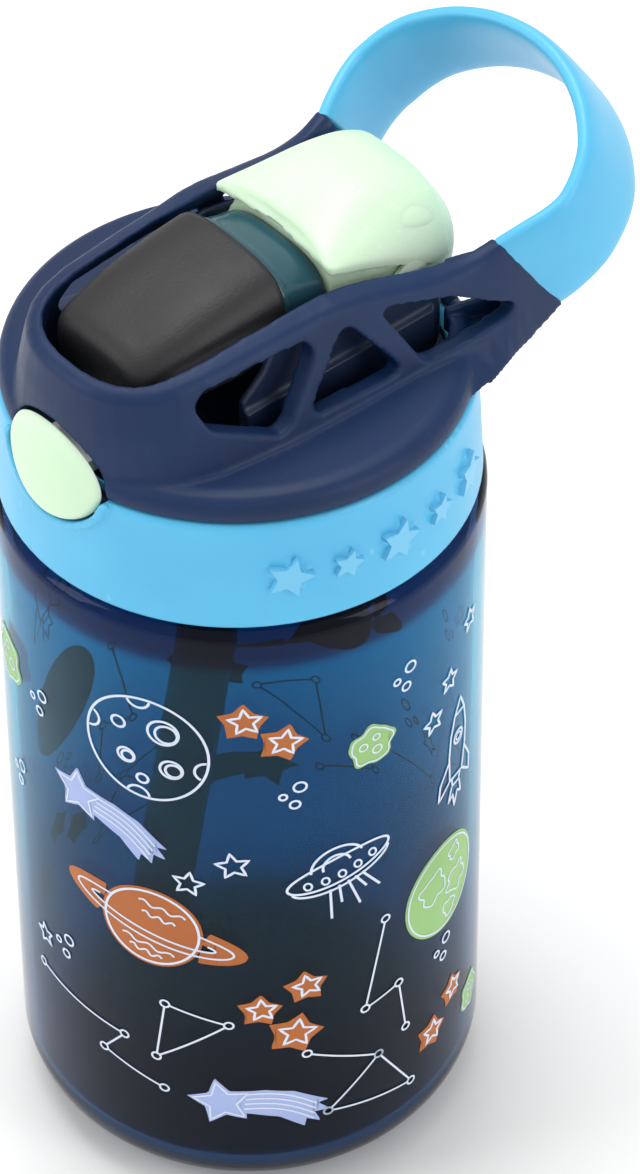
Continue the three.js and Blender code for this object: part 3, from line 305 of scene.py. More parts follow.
def clear_plastic(name, foot, top, low, high, transmission, smoothest, roughest, ior, shade=None):
    material, tree, shader, coordinates = start_material(name)
    tint = place_group(tree, HEIGHT_TINT, coordinates, foot=linear(foot), top=linear(top), low=low, high=high)
    if shade:
        tint.inputs["Shade"].default_value = linear(shade)
        tint.inputs["Shade Low"].default_value = SHADE_FROM * MM
        tint.inputs["Shade High"].default_value = SHADE_TO * MM
    satin = place_group(tree, SATIN, coordinates, smoothest=smoothest, roughest=roughest, polish_scale=35.0)
    tree.links.new(tint.outputs["Colour"], shader.inputs["Base Color"])
    tree.links.new(satin.outputs["Roughness"], shader.inputs["Roughness"])
    shader.inputs["Transmission Weight"].default_value = transmission
    shader.inputs["IOR"].default_value = ior
    return material


def steel_wire(name):
    material, tree, shader, coordinates = start_material(name)
    stretch = tree.nodes.new("ShaderNodeMapping")
    stretch.inputs["Scale"].default_value = (1, 12, 12)
    tree.links.new(coordinates, stretch.inputs["Vector"])
    # Raised edges of the wire are painted lighter: a painted highlight, together with some wear.
    tone = place_group(tree, TONE, stretch.outputs["Vector"], colour=linear("C4C7CA"),
                       second_tone=linear("A6AAAE"), edge_tint=linear("E4E6E8"), edge_wear=0.5)
    satin = place_group(tree, SATIN, stretch.outputs["Vector"], smoothest=0.2, roughest=0.36)
    tree.links.new(tone.outputs["Colour"], shader.inputs["Base Color"])
    tree.links.new(satin.outputs["Roughness"], shader.inputs["Roughness"])
    add_bump(tree, shader, satin.outputs["Height"], FINE_GRAIN)
    shader.inputs["Metallic"].default_value = 1.0
    return material


# Clear plastics: foot tone, top tone, their heights in metres, transmission, roughness range, IOR, shade.
CLEAR = {
    "body_blue": ("28507E", "1FA2C6", 0.03, 0.088, 0.97, 0.0, 0.0, 1.22, "243C6A"),
    "teal": ("2C5260", "35606E", 0.15, 0.175, 0.25, 0.16, 0.24, 1.4),
    "clear_straw": ("0B1226", "0C1630", 0.02, 0.12, 0.2, 0.12, 0.2, 1.3),
}
# Mouldings and inks: colour, second tone, edge tint (painted highlight along with rubbed wear on raised
# edges), roughness range.
MOULDED = {
    "sky_blue": (("57BCE6", "50B4E0", "A6DDF5", 0.3, 0.4), {"highlight_and_wear": 0.25}),
    "navy": (("112B52", "0F264A", "2A4A80", 0.4, 0.52), {"highlight_and_wear": 0.1, "shine": 0.3}),
    "dark_navy": (("1B2945", "17233C", "38486A", 0.38, 0.5), {}),
    "pale_green": (("D3EED0", "C9E8C6", "EEF9EC", 0.32, 0.42), {"glow": 0.35}),
    "charcoal": (("262628", "202022", "5A544E", 0.42, 0.56),
                 {"highlight_and_wear": 0.6, "grain": 1800.0, "bump": 0.05 * MM, "shine": 0.4}),
    "white": (("E4E6E8", "DADCDF", "F4F5F6", 0.4, 0.5), {"highlight_and_wear": 0.2}),
    "seal_white": (("DCE0E2", "D0D5D8", "ECEEF0", 0.5, 0.62), {"highlight_and_wear": 0.2, "glow": 0.3}),
    "ink_white": (("DCE4F2", "CFDAEC", "E6ECF6", 0.4, 0.5), {"highlight_and_wear": 0.0, "grain": 900.0}),
    "ink_orange": (("B4631E", "A4540F", "C06C24", 0.42, 0.52), {"highlight_and_wear": 0.0, "grain": 900.0}),
    "ink_green": (("96C47A", "87B469", "A4CE8A", 0.42, 0.52), {"highlight_and_wear": 0.0, "grain": 900.0}),
    "ink_lavender": (("A9B9E6", "9BADDD", "B8C4EC", 0.42, 0.52), {"highlight_and_wear": 0.0, "grain": 900.0}),
}
MATERIALS = {"steel": steel_wire("steel")}
for slot, values in CLEAR.items():
    MATERIALS[slot] = clear_plastic(slot, *values)
for slot, (values, extra) in MOULDED.items():
    MATERIALS[slot] = moulded_plastic(slot, *values, **extra)
SLOT_OF = {row["node"]: row["material_slot"] for row in frame["record"]["subparts"]}
LOOK_OF = dict(SLOT_OF, pivot_bushing_right="pale_green", pivot_bushing_left="pale_green")

# ---- Mesh tools ---------------------------------------------------------------------------------


def add_object(name, mesh, material):
    thing = bpy.data.objects.new(name, mesh)
    bpy.context.scene.collection.objects.link(thing)
    mesh.materials.clear()
    mesh.materials.append(MATERIALS[material])
    return thing


def evaluated_mesh(thing):
    """The plain mesh that an object's modifiers give; the modifiers are then taken off."""
    bpy.context.view_layer.update()
    graph = bpy.context.evaluated_depsgraph_get()
    mesh = bpy.data.meshes.new_from_object(thing.evaluated_get(graph))
    thing.modifiers.clear()
    thing.data = mesh
    return mesh


def merged_copy(node):
    mesh = NODES[node].data.copy()
    shape = bmesh.new()
    shape.from_mesh(mesh)
    bmesh.ops.remove_doubles(shape, verts=shape.verts, dist=0.002 * MM)
    shape.to_mesh(mesh)
    shape.free()
    return mesh


def shade_smooth(mesh):
    for face in mesh.polygons:
        face.use_smooth = True


def soften(thing, voxel, passes):
    """One even skin over the whole shape, then softened corners."""
    remesh = thing.modifiers.new("even_skin", "REMESH")
    remesh.mode = "VOXEL"
    remesh.voxel_size = voxel * MM
    smooth = thing.modifiers.new("soft_corners", "SMOOTH")
    smooth.factor = 0.5
    smooth.iterations = passes
    mesh = evaluated_mesh(thing)
    if len(mesh.polygons) > MOST_QUADS:
        thin = thing.modifiers.new("fewer_faces", "DECIMATE")
        thin.ratio = MOST_QUADS / len(mesh.polygons)
        mesh = evaluated_mesh(thing)
    shade_smooth(mesh)
    return mesh


def take_out_facets(mesh):
    """Moves points outwards so that a ring turned with flat sides becomes truly round."""
    half = math.pi / CAD_FACETS
    for vertex in mesh.vertices:
        angle = math.atan2(vertex.co.y, vertex.co.x) % (2 * half) - half
        factor = math.cos(angle) / math.cos(half)
        vertex.co.x *= factor
        vertex.co.y *= factor


def finish(thing, node):
    """The piece stands for a CAD node, which is hidden, and moves with its body."""
    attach(thing, BODY_OF[node])
    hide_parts(node)
    return thing


def soft_copy(node, voxel, passes, round_out=False):
    thing = add_object(node + "_moulding", merged_copy(node), SLOT_OF[node])
    mesh = soften(thing, voxel, passes)
    if round_out:
        take_out_facets(mesh)
    return finish(thing, node)


def grid_mesh(name, rows, cap=True):
    """Rows of points, each a closed loop, joined into a skin; a cap closes the first and last."""
    count = len(rows[0])
    points = [p for row in rows for p in row]
    faces = []
    for i in range(len(rows) - 1):
        for j in range(count):
            a = i * count + j
            b = i * count + (j + 1) % count
            faces.append((a, b, b + count, a + count))
    if cap:
        for start, row in ((0, rows[0]), ((len(rows) - 1) * count, rows[-1])):
            middle = sum((Vector(p) for p in row), Vector()) / count
            points.append(tuple(middle))
            centre = len(points) - 1
            faces.extend((start + j, start + (j + 1) % count, centre) for j in range(count))
    mesh = bpy.data.meshes.new(name)
    mesh.from_pydata([tuple(v * MM for v in p) for p in points], [], faces)
    shape = bmesh.new()
    shape.from_mesh(mesh)
    bmesh.ops.remove_doubles(shape, verts=shape.verts, dist=0.001 * MM)
    bmesh.ops.recalc_face_normals(shape, faces=shape.faces)
    shape.to_mesh(mesh)
    shape.free()
    shade_smooth(mesh)
    return mesh


def turned_mesh(name, profile, segments=192):
    """A closed profile of (radius, height) turned about the upright axis."""
    rows = []
    for i in range(segments + 1):
        angle = 2 * math.pi * i / segments
        rows.append([(r * math.cos(angle), r * math.sin(angle), z) for r, z in profile])
    return grid_mesh(name, rows, cap=False)


def arc(centre, radius, start, end, steps):
    angles = [math.radians(start + (end - start) * i / steps) for i in range(steps + 1)]
    return [(centre[0] + radius * math.cos(a), centre[1] + radius * math.sin(a)) for a in angles]


def rise(height):
    """Height given from the collar's lower edge."""
    return COLLAR_BOTTOM + height


def oval_slice(y, half_width, crown, bottom, power, count=96):
    middle = (crown + bottom) / 2
    out = []
    for i in range(count):
        angle = 2 * math.pi * i / count
        c, s = math.cos(angle), math.sin(angle)
        x = half_width * math.copysign(abs(c) ** (2 / power), c)
        z = (crown - bottom) / 2 * math.copysign(abs(s) ** (2 / power), s)
        out.append((x, y, rise(middle + z)))
    return out


def between(stations, steps):
    """Stations of plain numbers, with smooth in-between ones added."""
    out = []
    for i in range(len(stations) - 1):
        p0, p1 = stations[max(i - 1, 0)], stations[i]
        p2, p3 = stations[i + 1], stations[min(i + 2, len(stations) - 1)]
        for k in range(steps):
            t = k / steps
            out.append([
                0.5 * (2 * b + (c - a) * t + (2 * a - 5 * b + 4 * c - d) * t * t
                       + (3 * b - a - 3 * c + d) * t ** 3)
                for a, b, c, d in zip(p0, p1, p2, p3)
            ])
    out.append(list(stations[-1]))
    return out


# ---- Bottle -------------------------------------------------------------------------------------


def make_body():
    wall = 1.8
    base_round = 11.4
    neck = 30.9
    ledge = COLLAR_BOTTOM - 0.3
    inner = BODY_RADIUS - wall
    shoulder = 2.4
    floor = 2.6
    inner_round = base_round - wall
    profile = [(0, 0)]
    profile += arc((BODY_RADIUS - base_round, base_round), base_round, -90, 0, 24)
    profile += [(BODY_RADIUS, ledge * k / 8) for k in range(2, 8)]
    profile += arc((BODY_RADIUS - shoulder, ledge - shoulder), shoulder, 0, 90, 8)
    profile += [(neck + 0.4, ledge), (neck, ledge + 0.4), (neck, NECK_TOP - 0.5), (neck - 0.5, NECK_TOP)]
    profile += [(neck - wall + 0.5, NECK_TOP), (neck - wall, NECK_TOP - 0.5), (neck - wall, ledge)]
    profile += arc((inner - shoulder, ledge - wall - shoulder), shoulder, 90, 0, 8)
    profile += [(inner, ledge * k / 8) for k in range(7, 1, -1)]
    profile += arc((BODY_RADIUS - base_round, floor + inner_round), inner_round, 0, -90, 20)
    profile += [(0, floor)]
    body = add_object("body_shell", turned_mesh("body_shell", profile), "body_blue")
    return finish(body, "bottle_body")


# ---- Lid mouldings ------------------------------------------------------------------------------


def loop_point(x, along, across):
    """A point on the carrying loop, from distances sideways, along its plane and across the band."""
    tilt = math.radians(34.4)
    seam_y, seam_rise = 33.2, 37.0
    y = seam_y + math.cos(tilt) * along + math.sin(tilt) * across
    return (x, y, rise(seam_rise + math.sin(tilt) * along - math.cos(tilt) * across))


def make_loop():
    depth, thickness, crown_width, seam_width, flare = 29.5, 3.2, 18.5, 19.6, 1.9
    root_overlap = 0.7  # the band starts this far inside the arms
    settle_length = 13  # the root's flare is gone this far along
    squareness = 0.62
    half = [(21.1, -root_overlap / depth), (22.6, 0.108), (24, 0.258), (24.3, 0.386), (22.9, 0.556),
            (20.1, 0.705), (14.6, 0.861), (7.8, 0.963), (0, 1)]
    line = [(-x, share * depth) for x, share in half] + [(x, share * depth) for x, share in half[-2::-1]]
    path = between(line, 12)
    rows = []
    for i, (x, along) in enumerate(path):
        x0, s0 = path[max(i - 1, 0)]
        x1, s1 = path[min(i + 1, len(path) - 1)]
        length = math.hypot(x1 - x0, s1 - s0)
        inward = ((s1 - s0) / length, -(x1 - x0) / length)
        settle = min(1.0, max(0.0, along) / settle_length)
        ease = settle * settle * (3 - 2 * settle)
        width = seam_width + (crown_width - seam_width) * ease
        lean = math.copysign(flare * (1 - ease), x) if x else 0.0
        row = []
        for k in range(32):
            angle = 2 * math.pi * k / 32
            c, s = math.cos(angle), math.sin(angle)
            push = thickness / 2 * (1 + math.copysign(abs(c) ** squareness, c))
            low = 0.5 + 0.5 * math.copysign(abs(s) ** squareness, s)
            row.append(loop_point(x + lean * low + inward[0] * push, along + inward[1] * push,
                                  1.5 * ease + width * low))
        rows.append(row)
    loop = add_object("carry_loop_band", grid_mesh("carry_loop_band", rows), "sky_blue")
    return finish(loop, "carry_loop")


def make_button():
    half_width, half_height, seat_radius, travel = 10.2, 7.7, 33.45, 1.8
    tilt, centre, edge, dome = math.radians(7), 20.0, 0.6, 1.7
    profile = [(0.75, 0.0), (0.02, 0.0), (0.0, 0.15)]
    for k in range(1, 15):
        share = k / 14
        turn = share * math.pi / 2
        profile.append((0.97 * (1 - math.cos(turn)), edge * min(1, share * 4) + dome * math.sin(turn)))
    rows = []
    for shrink, out in profile:
        row = []
        for k in range(96):
            angle = 2 * math.pi * k / 96
            x = half_width * (1 - shrink) * math.cos(angle)
            s = math.sin(angle)
            z = half_height * (1 - shrink) * math.copysign(abs(s) ** 1.1, s)
            y = -travel - math.sqrt((seat_radius + out * 0.8) ** 2 - x * x) + z * math.tan(tilt)
            row.append((x, y, rise(centre) + z))
        rows.append(row)
    button = add_object("push_button", grid_mesh("push_button", rows), "pale_green")
    return finish(button, "release_button")


# ---- Flip-up spout ------------------------------------------------------------------------------


def make_mouthpiece():
    stations = [
        (-26.4, 4.0, 34.8, 31.6, 2.4), (-26.35, 7.2, 37.0, 29.4, 2.6), (-25.9, 9.0, 38.3, 28.2, 2.8),
        (-24.8, 10.1, 39.4, 27.3, 3.0), (-22.5, 10.8, 40.3, 27.0, 3.1), (-16, 11.7, 42.0, 26.7, 3.2),
        (-8, 12.2, 43.5, 26.2, 3.2), (-2.2, 12.3, 44.3, 26.0, 3.2), (-1.3, 12.3, 44.3, 26.0, 3.2),
        (-0.85, 12.15, 44.1, 26.1, 3.2), (-0.7, 11.7, 43.6, 26.4, 3.2), (-0.7, 6.0, 38.0, 30.0, 2.6),
    ]
    rows = [oval_slice(*station) for station in between(stations, 5)]
    mouthpiece = add_object("mouth_cover", grid_mesh("mouth_cover", rows), "charcoal")
    return finish(mouthpiece, "mouthpiece")


def make_tube():
    stations = [
        (-3.0, 7.0, 38.4, 28.6, 2.4), (-0.45, 7.4, 39.0, 28.2, 2.4), (-0.4, 11.2, 42.6, 25.6, 2.9),
        (-0.2, 11.75, 43.1, 25.2, 3.0), (0.7, 11.75, 43.0, 25.2, 3.0), (1.2, 11.4, 42.5, 25.4, 3.0),
        (4.0, 11.2, 41.6, 25.3, 3.0), (7.9, 11.0, 40.4, 25.2, 3.0), (7.9, 7.5, 38.6, 28.0, 2.4),
        (14.0, 7.4, 37.6, 28.4, 2.2),
    ]
    rows = [oval_slice(*station) for station in between(stations, 5)]
    tube = add_object("spout_sleeve", grid_mesh("spout_sleeve", rows), "teal")
    return finish(tube, "spout_tube")


def barrel_radius(x):
    end_radius, radius, half_length = 7.8, 13.6, 12.0
    share = min(1.0, abs(x) / half_length)
    return end_radius + (radius - end_radius) * math.sqrt(1 - share ** 3)


def make_barrel():
    half_length, corner = 12.0, 0.8
    xs = [half_length * math.sin(math.pi / 2 * k / 24) for k in range(-24, 25)]
    rows = []
    for x in xs:
        row = []
        radius = barrel_radius(x) - corner * (1 if abs(x) > half_length - 0.01 else 0)
        for k in range(96):
            angle = 2 * math.pi * k / 96
            row.append((x, PIVOT_Y + radius * math.cos(angle), PIVOT_Z + radius * math.sin(angle)))
        rows.append(row)
    shapes = [grid_mesh("barrel", rows)]
    neck = [oval_slice(*station) for station in between([
        (8.2, 10.9, 40.2, 25.6, 3.2), (8.3, 11.7, 41.0, 24.8, 3.2), (9.0, 12.0, 41.3, 24.6, 3.2),
        (20, 11.6, 41.2, 24.6, 3.2)], 4)]
    shapes.append(grid_mesh("neck", neck))
    thing = add_object("spout_barrel", join_meshes("spout_barrel", shapes), "pale_green")
    soften(thing, 0.4, 5)
    return finish(thing, "hub_barrel")


def hood_row(offset, half_width, crown, hem, power, notch, depth=None):
    """Arched slice of the thumb hood with a crisp edge; with a depth, its underside follows its top."""
    row = []
    steps = 48
    for k in range(steps + 1):
        u = math.sin(math.pi * (k / steps - 0.5))
        height = (1 - abs(u) ** power) ** 0.7
        y = PIVOT_Y + offset + notch * (1 - u * u)
        row.append((u * half_width, y, rise(hem + (crown - hem) * height)))
    if depth:
        row.extend((x * 0.985, y, z - depth) for x, y, z in row[::-1])
    return row


def make_hood():
    plate = [hood_row(*station) for station in between([
        (-15.2, 12.2, 43.0, 41.8, 3.6, 1.5, 1.0), (-14.9, 12.8, 43.6, 41.7, 3.6, 1.5, 1.4),
        (-14.2, 13.1, 44.0, 41.5, 3.6, 1.3, 1.6), (-11, 13.2, 45.0, 40.6, 3.6, 0.8, 1.6),
        (-6, 13.2, 46.0, 38.6, 3.6, 0.3, 1.6), (-1, 13.2, 46.4, 36.3, 3.6, 0.0, 1.6),
        (3.5, 13.2, 45.9, 34.1, 3.6, 0.0, 1.6), (6.2, 13.2, 45.0, 32.8, 3.6, 0.0, 1.6),
        (8.2, 13.0, 44.0, 32.2, 3.6, 0.0, 1.4)], 5)]
    wall = [hood_row(*station) for station in between([
        (-13.4, 11.9, 42.6, 34.6, 6, 0.4), (-6, 12.0, 44.8, 31.4, 5, 0.0),
        (2, 12.0, 44.8, 31.0, 4.4, 0.0), (6.8, 12.0, 43.4, 31.0, 4, 0.0)], 4)]
    shapes = [grid_mesh("plate", plate), grid_mesh("wall", wall)]
    thing = add_object("thumb_plate", join_meshes("thumb_plate", shapes), "pale_green")
    soften(thing, 0.26, 5)
    return finish(thing, "thumb_hood")


def join_meshes(name, meshes):
    shape = bmesh.new()
    for mesh in meshes:
        shape.from_mesh(mesh)
    joined = bpy.data.meshes.new(name)
    shape.to_mesh(joined)
    shape.free()
    return joined


# ---- Coils and rings of stars, grown with geometry nodes -----------------------------------------


def new_growth(name, inputs):
    group = bpy.data.node_groups.new(name, "GeometryNodeTree")
    for label, kind, value in inputs:
        group.interface.new_socket(label, in_out="INPUT", socket_type=kind).default_value = value
    group.interface.new_socket("Material", in_out="INPUT", socket_type="NodeSocketMaterial")
    group.interface.new_socket("Geometry", in_out="OUTPUT", socket_type="NodeSocketGeometry")
    return group, group.nodes.new("NodeGroupInput"), group.nodes.new("NodeGroupOutput")


def end_growth(group, inside, out, geometry):
    link = group.links.new
    realize = group.nodes.new("GeometryNodeRealizeInstances")
    paint = group.nodes.new("GeometryNodeSetMaterial")
    link(geometry, realize.inputs[0])
    link(realize.outputs[0], paint.inputs["Geometry"])
    link(inside.outputs["Material"], paint.inputs["Material"])
    link(paint.outputs[0], out.inputs["Geometry"])
    return group


def make_coil_growth():
    """A round wire wound about an axis that starts at a place and points along a turn."""
    group, inside, out = new_growth("coil", [
        ("Turns", "NodeSocketFloat", 3.0), ("Radius", "NodeSocketFloat", 0.003),
        ("Length", "NodeSocketFloat", 0.003), ("Wire Radius", "NodeSocketFloat", 0.0004),
        ("Place", "NodeSocketVector", (0, 0, 0)), ("Turn", "NodeSocketVector", (0, 0, 0))])
    link = group.links.new
    spiral = group.nodes.new("GeometryNodeCurveSpiral")
    spiral.inputs["Resolution"].default_value = 40
    for label, socket in (("Turns", "Rotations"), ("Radius", "Start Radius"), ("Radius", "End Radius"),
                          ("Length", "Height")):
        link(inside.outputs[label], spiral.inputs[socket])
    wire = group.nodes.new("GeometryNodeCurvePrimitiveCircle")
    wire.inputs["Resolution"].default_value = 12
    link(inside.outputs["Wire Radius"], wire.inputs["Radius"])
    skin = group.nodes.new("GeometryNodeCurveToMesh")
    skin.inputs["Fill Caps"].default_value = True
    link(spiral.outputs[0], skin.inputs["Curve"])
    link(wire.outputs[0], skin.inputs["Profile Curve"])
    move = group.nodes.new("GeometryNodeTransform")
    link(skin.outputs[0], move.inputs["Geometry"])
    link(inside.outputs["Place"], move.inputs["Translation"])
    link(inside.outputs["Turn"], move.inputs["Rotation"])
    return end_growth(group, inside, out, move.outputs[0])


def make_star_ring_growth():
    """Raised stars, evenly spaced along an arc and facing outwards."""
    group, inside, out = new_growth("star_ring", [
        ("Count", "NodeSocketInt", 5), ("Ring Radius", "NodeSocketFloat", 0.036),
        ("Start", "NodeSocketFloat", 0.0), ("Sweep", "NodeSocketFloat", 1.0),
        ("Height", "NodeSocketFloat", 0.1), ("Star Radius", "NodeSocketFloat", 0.003),
        ("Depth", "NodeSocketFloat", 0.001)])
    link = group.links.new
    arc_line = group.nodes.new("GeometryNodeCurveArc")
    for label, socket in (("Ring Radius", "Radius"), ("Start", "Start Angle"), ("Sweep", "Sweep Angle")):
        link(inside.outputs[label], [s for s in arc_line.inputs if s.name == socket and s.enabled][0])
    stops = group.nodes.new("GeometryNodeCurveToPoints")
    link(arc_line.outputs[0], stops.inputs["Curve"])
    link(inside.outputs["Count"], stops.inputs["Count"])
    star = group.nodes.new("GeometryNodeCurveStar")
    star.inputs["Points"].default_value = 5
    star.inputs["Inner Radius"].default_value = 0.5
    star.inputs["Outer Radius"].default_value = 1.0
    face = group.nodes.new("GeometryNodeFillCurve")
    link(star.outputs[0], face.inputs["Curve"])
    swell = group.nodes.new("GeometryNodeExtrudeMesh")
    swell.inputs["Offset Scale"].default_value = 0.4
    swell.inputs["Individual"].default_value = False
    link(face.outputs[0], swell.inputs["Mesh"])
    back = group.nodes.new("GeometryNodeFlipFaces")
    link(face.outputs[0], back.inputs[0])
    join = group.nodes.new("GeometryNodeJoinGeometry")
    link(back.outputs[0], join.inputs[0])
    link(swell.outputs["Mesh"], join.inputs[0])
    weld = group.nodes.new("GeometryNodeMergeByDistance")
    link(join.outputs[0], weld.inputs["Geometry"])
    place = group.nodes.new("GeometryNodeInputPosition")
    face_out = group.nodes.new("FunctionNodeAlignRotationToVector")
    face_out.axis = "Z"
    link(place.outputs[0], face_out.inputs["Vector"])
    upright = group.nodes.new("FunctionNodeAlignRotationToVector")
    upright.axis = "Y"
    upright.pivot_axis = "Z"
    upright.inputs["Vector"].default_value = (0, 0, 1)
    link(face_out.outputs[0], upright.inputs["Rotation"])
    size = group.nodes.new("ShaderNodeCombineXYZ")
    for label, socket in (("Star Radius", "X"), ("Star Radius", "Y"), ("Depth", "Z")):
        link(inside.outputs[label], size.inputs[socket])
    repeat = group.nodes.new("GeometryNodeInstanceOnPoints")
    link(stops.outputs["Points"], repeat.inputs["Points"])
    link(weld.outputs[0], repeat.inputs["Instance"])
    link(upright.outputs[0], repeat.inputs["Rotation"])
    link(size.outputs[0], repeat.inputs["Scale"])
    lift = group.nodes.new("GeometryNodeTransform")
    raised = group.nodes.new("ShaderNodeCombineXYZ")
    link(inside.outputs["Height"], raised.inputs["Z"])
    link(repeat.outputs[0], lift.inputs["Geometry"])
    link(raised.outputs[0], lift.inputs["Translation"])
    return end_growth(group, inside, out, lift.outputs[0])


def grow(name, group, material, **values):
    """Runs a growth once and keeps its plain mesh."""
    thing = bpy.data.objects.new(name, bpy.data.meshes.new(name))
    bpy.context.scene.collection.objects.link(thing)
    growth = thing.modifiers.new(name, "NODES")
    growth.node_group = group
    values["Material"] = MATERIALS[material]
    for item in group.interface.items_tree:
        if item.in_out == "INPUT":
            label = item.name if item.name in values else item.name.lower().replace(" ", "_")
            growth[item.identifier] = values[label]
    mesh = evaluated_mesh(thing)
    shape = bmesh.new()
    shape.from_mesh(mesh)
    bmesh.ops.recalc_face_normals(shape, faces=shape.faces)
    shape.to_mesh(mesh)
    shape.free()
    return thing


def make_coils():
    coil = make_coil_growth()
    wire, shaft = 0.35, 2.9
    spring = grow("hinge_coil", coil, "steel", turns=3.2, radius=shaft * MM, length=2.73 * MM,
                  wire_radius=wire * MM, place=(7 * MM, PIVOT_Y * MM, PIVOT_Z * MM),
                  turn=(0.0, math.pi / 2, 0.0))
    shade_smooth(spring.data)
    finish(spring, "torsion_spring")
    low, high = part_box("button_spring")
    middle = ((low[0] + high[0]) / 2, low[1] + wire * MM, (low[2] + high[2]) / 2)
    spring = grow("button_coil", coil, "steel", turns=4.0, radius=(high[0] - low[0]) / 2 - wire * MM,
                  length=high[1] - low[1] - 2 * wire * MM, wire_radius=wire * MM, place=middle,
                  turn=(-math.pi / 2, 0.0, 0.0))
    shade_smooth(spring.data)
    finish(spring, "button_spring")
    neck_radius, ridge = 30.7, 0.85
    thread = grow("neck_thread", coil, "body_blue", turns=1.7, radius=neck_radius * MM, length=6.4 * MM,
                  wire_radius=ridge * MM, place=(0.0, 0.0, (NECK_TOP - 9.6) * MM), turn=(0.0, 0.0, 0.4))
    shade_smooth(thread.data)
    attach(thread, "bottle")


def make_collar_stars():
    stars = make_star_ring_growth()
    middle = rise(9.7)
    step = math.radians(28)
    for name, count, radius in (("collar_stars_large", 3, 3.7), ("collar_stars_small", 2, 2.6)):
        sweep = step * (count - 1)
        ring_of = grow(name, stars, "sky_blue", count=count, ring_radius=35.7 * MM, start=-sweep / 2,
                       sweep=sweep, height=middle * MM, star_radius=radius * MM, depth=3.0 * MM)
        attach(ring_of, BODY_OF["collar_ring"])


# ---- Printed pictures, drawn flat and wrapped on the body ---------------------------------------
# Flat places are [degrees round the body from +X, height]; drawings are in millimetres about their place.
INK_BASE = 0.03
INK_DEPTH = 0.07
INK_GAP = 0.02  # white lines stand this far above the filled shapes
LINE_WIDTH = 0.42
FINE_LINE = 0.34
THIN_LINE = 0.3
HAIR_LINE = 0.26
SLICE = 0.35  # width of one upright slice of a filled shape


def wrapped(u, z, radius):
    """A flat point, u round the body and z up it, as a point in metres at a radius."""
    angle = u / BODY_RADIUS
    return (radius * math.cos(angle) * MM, radius * math.sin(angle) * MM, z * MM)


class Print:
    """Collects flat shapes of one ink and wraps them on the body as thin closed solids."""

    def __init__(self, name, ink, lift):
        self.name = name
        self.ink = ink
        self.lift = lift
        self.shape = bmesh.new()

    def add_strip(self, left, right):
        """A thin solid between two edges of equal count, each a list of flat (u, z) points."""
        layers = []
        for out in (self.lift, self.lift + INK_DEPTH):
            radius = BODY_RADIUS + out
            layers.append([[self.shape.verts.new(wrapped(u, z, radius)) for u, z in edge]
                           for edge in (left, right)])
        (low_left, low_right), (top_left, top_right) = layers
        for k in range(len(left) - 1):
            self.shape.faces.new((low_left[k], low_left[k + 1], low_right[k + 1], low_right[k]))
            self.shape.faces.new((top_left[k], top_right[k], top_right[k + 1], top_left[k + 1]))
            self.shape.faces.new((low_left[k], top_left[k], top_left[k + 1], low_left[k + 1]))
            self.shape.faces.new((low_right[k], low_right[k + 1], top_right[k + 1], top_right[k]))
        self.shape.faces.new((low_left[0], low_right[0], top_right[0], top_left[0]))
        self.shape.faces.new((low_left[-1], top_left[-1], top_right[-1], low_right[-1]))

    def line(self, points, width=LINE_WIDTH, closed=False):
        points = spaced(points + [points[0]] if closed else points)
        left, right = [], []
        count = len(points)
        for k, (u, z) in enumerate(points):
            before = points[k - 1] if k else (points[-2] if closed else points[0])
            after = points[k + 1] if k < count - 1 else (points[1] if closed else points[-1])
            length = math.hypot(after[0] - before[0], after[1] - before[1]) or 1.0
            side = ((before[1] - after[1]) / length * width / 2,
                    (after[0] - before[0]) / length * width / 2)
            left.append((u + side[0], z + side[1]))
            right.append((u - side[0], z - side[1]))
        self.add_strip(right, left)

    def fill(self, points):
        """A filled outline cut into upright slices, so that it follows the round body."""
        low = min(u for u, _ in points)
        high = max(u for u, _ in points)
        count = max(6, int((high - low) / SLICE))
        runs = []
        for k in range(count + 1):
            u = low + (high - low) * (0.002 + 0.996 * k / count)
            crossings = []
            for (u0, z0), (u1, z1) in zip(points, points[1:] + points[:1]):
                if (u0 <= u) != (u1 <= u):
                    crossings.append(z0 + (z1 - z0) * (u - u0) / (u1 - u0))
            crossings.sort()
            runs.append((u, list(zip(crossings[::2], crossings[1::2]))))
        for (u0, spans0), (u1, spans1) in zip(runs, runs[1:]):
            for a in spans0:
                for b in spans1:
                    if min(a[1], b[1]) > max(a[0], b[0]):
                        self.add_strip([(u0, a[0]), (u1, b[0])], [(u0, a[1]), (u1, b[1])])

    def finish(self):
        bmesh.ops.recalc_face_normals(self.shape, faces=self.shape.faces)
        mesh = bpy.data.meshes.new(self.name)
        self.shape.to_mesh(mesh)
        self.shape.free()
        thing = add_object(self.name, mesh, self.ink)
        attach(thing, "bottle")
        return thing


def spaced(points, step=0.7):
    """The same line with points no further apart than one step, so that it bends with the body."""
    out = [points[0]]
    for (u0, z0), (u1, z1) in zip(points, points[1:]):
        count = max(1, math.ceil(math.hypot(u1 - u0, z1 - z0) / step))
        out.extend((u0 + (u1 - u0) * k / count, z0 + (z1 - z0) * k / count) for k in range(1, count + 1))
    return out


def placed(points, place, turn=0.0, scale=1.0):
    """Flat drawing turned, scaled and moved to its place on the body."""
    c, s = math.cos(math.radians(turn)), math.sin(math.radians(turn))
    u0 = math.radians(place[0]) * BODY_RADIUS
    return [(u0 + scale * (c * x - s * y), place[1] + scale * (s * x + c * y)) for x, y in points]


def ring(radius, squash=1.0, start=0, end=360, count=28):
    angles = [math.radians(start + (end - start) * k / count) for k in range(count + 1)]
    return [(radius * math.cos(a), radius * squash * math.sin(a)) for a in angles]


def star_points(radius, inner=0.46, points=5):
    out = []
    for k in range(2 * points):
        r = radius * (inner if k % 2 else 1.0)
        a = math.pi / 2 + math.pi * k / points
        out.append((r * math.cos(a), r * math.sin(a)))
    return out


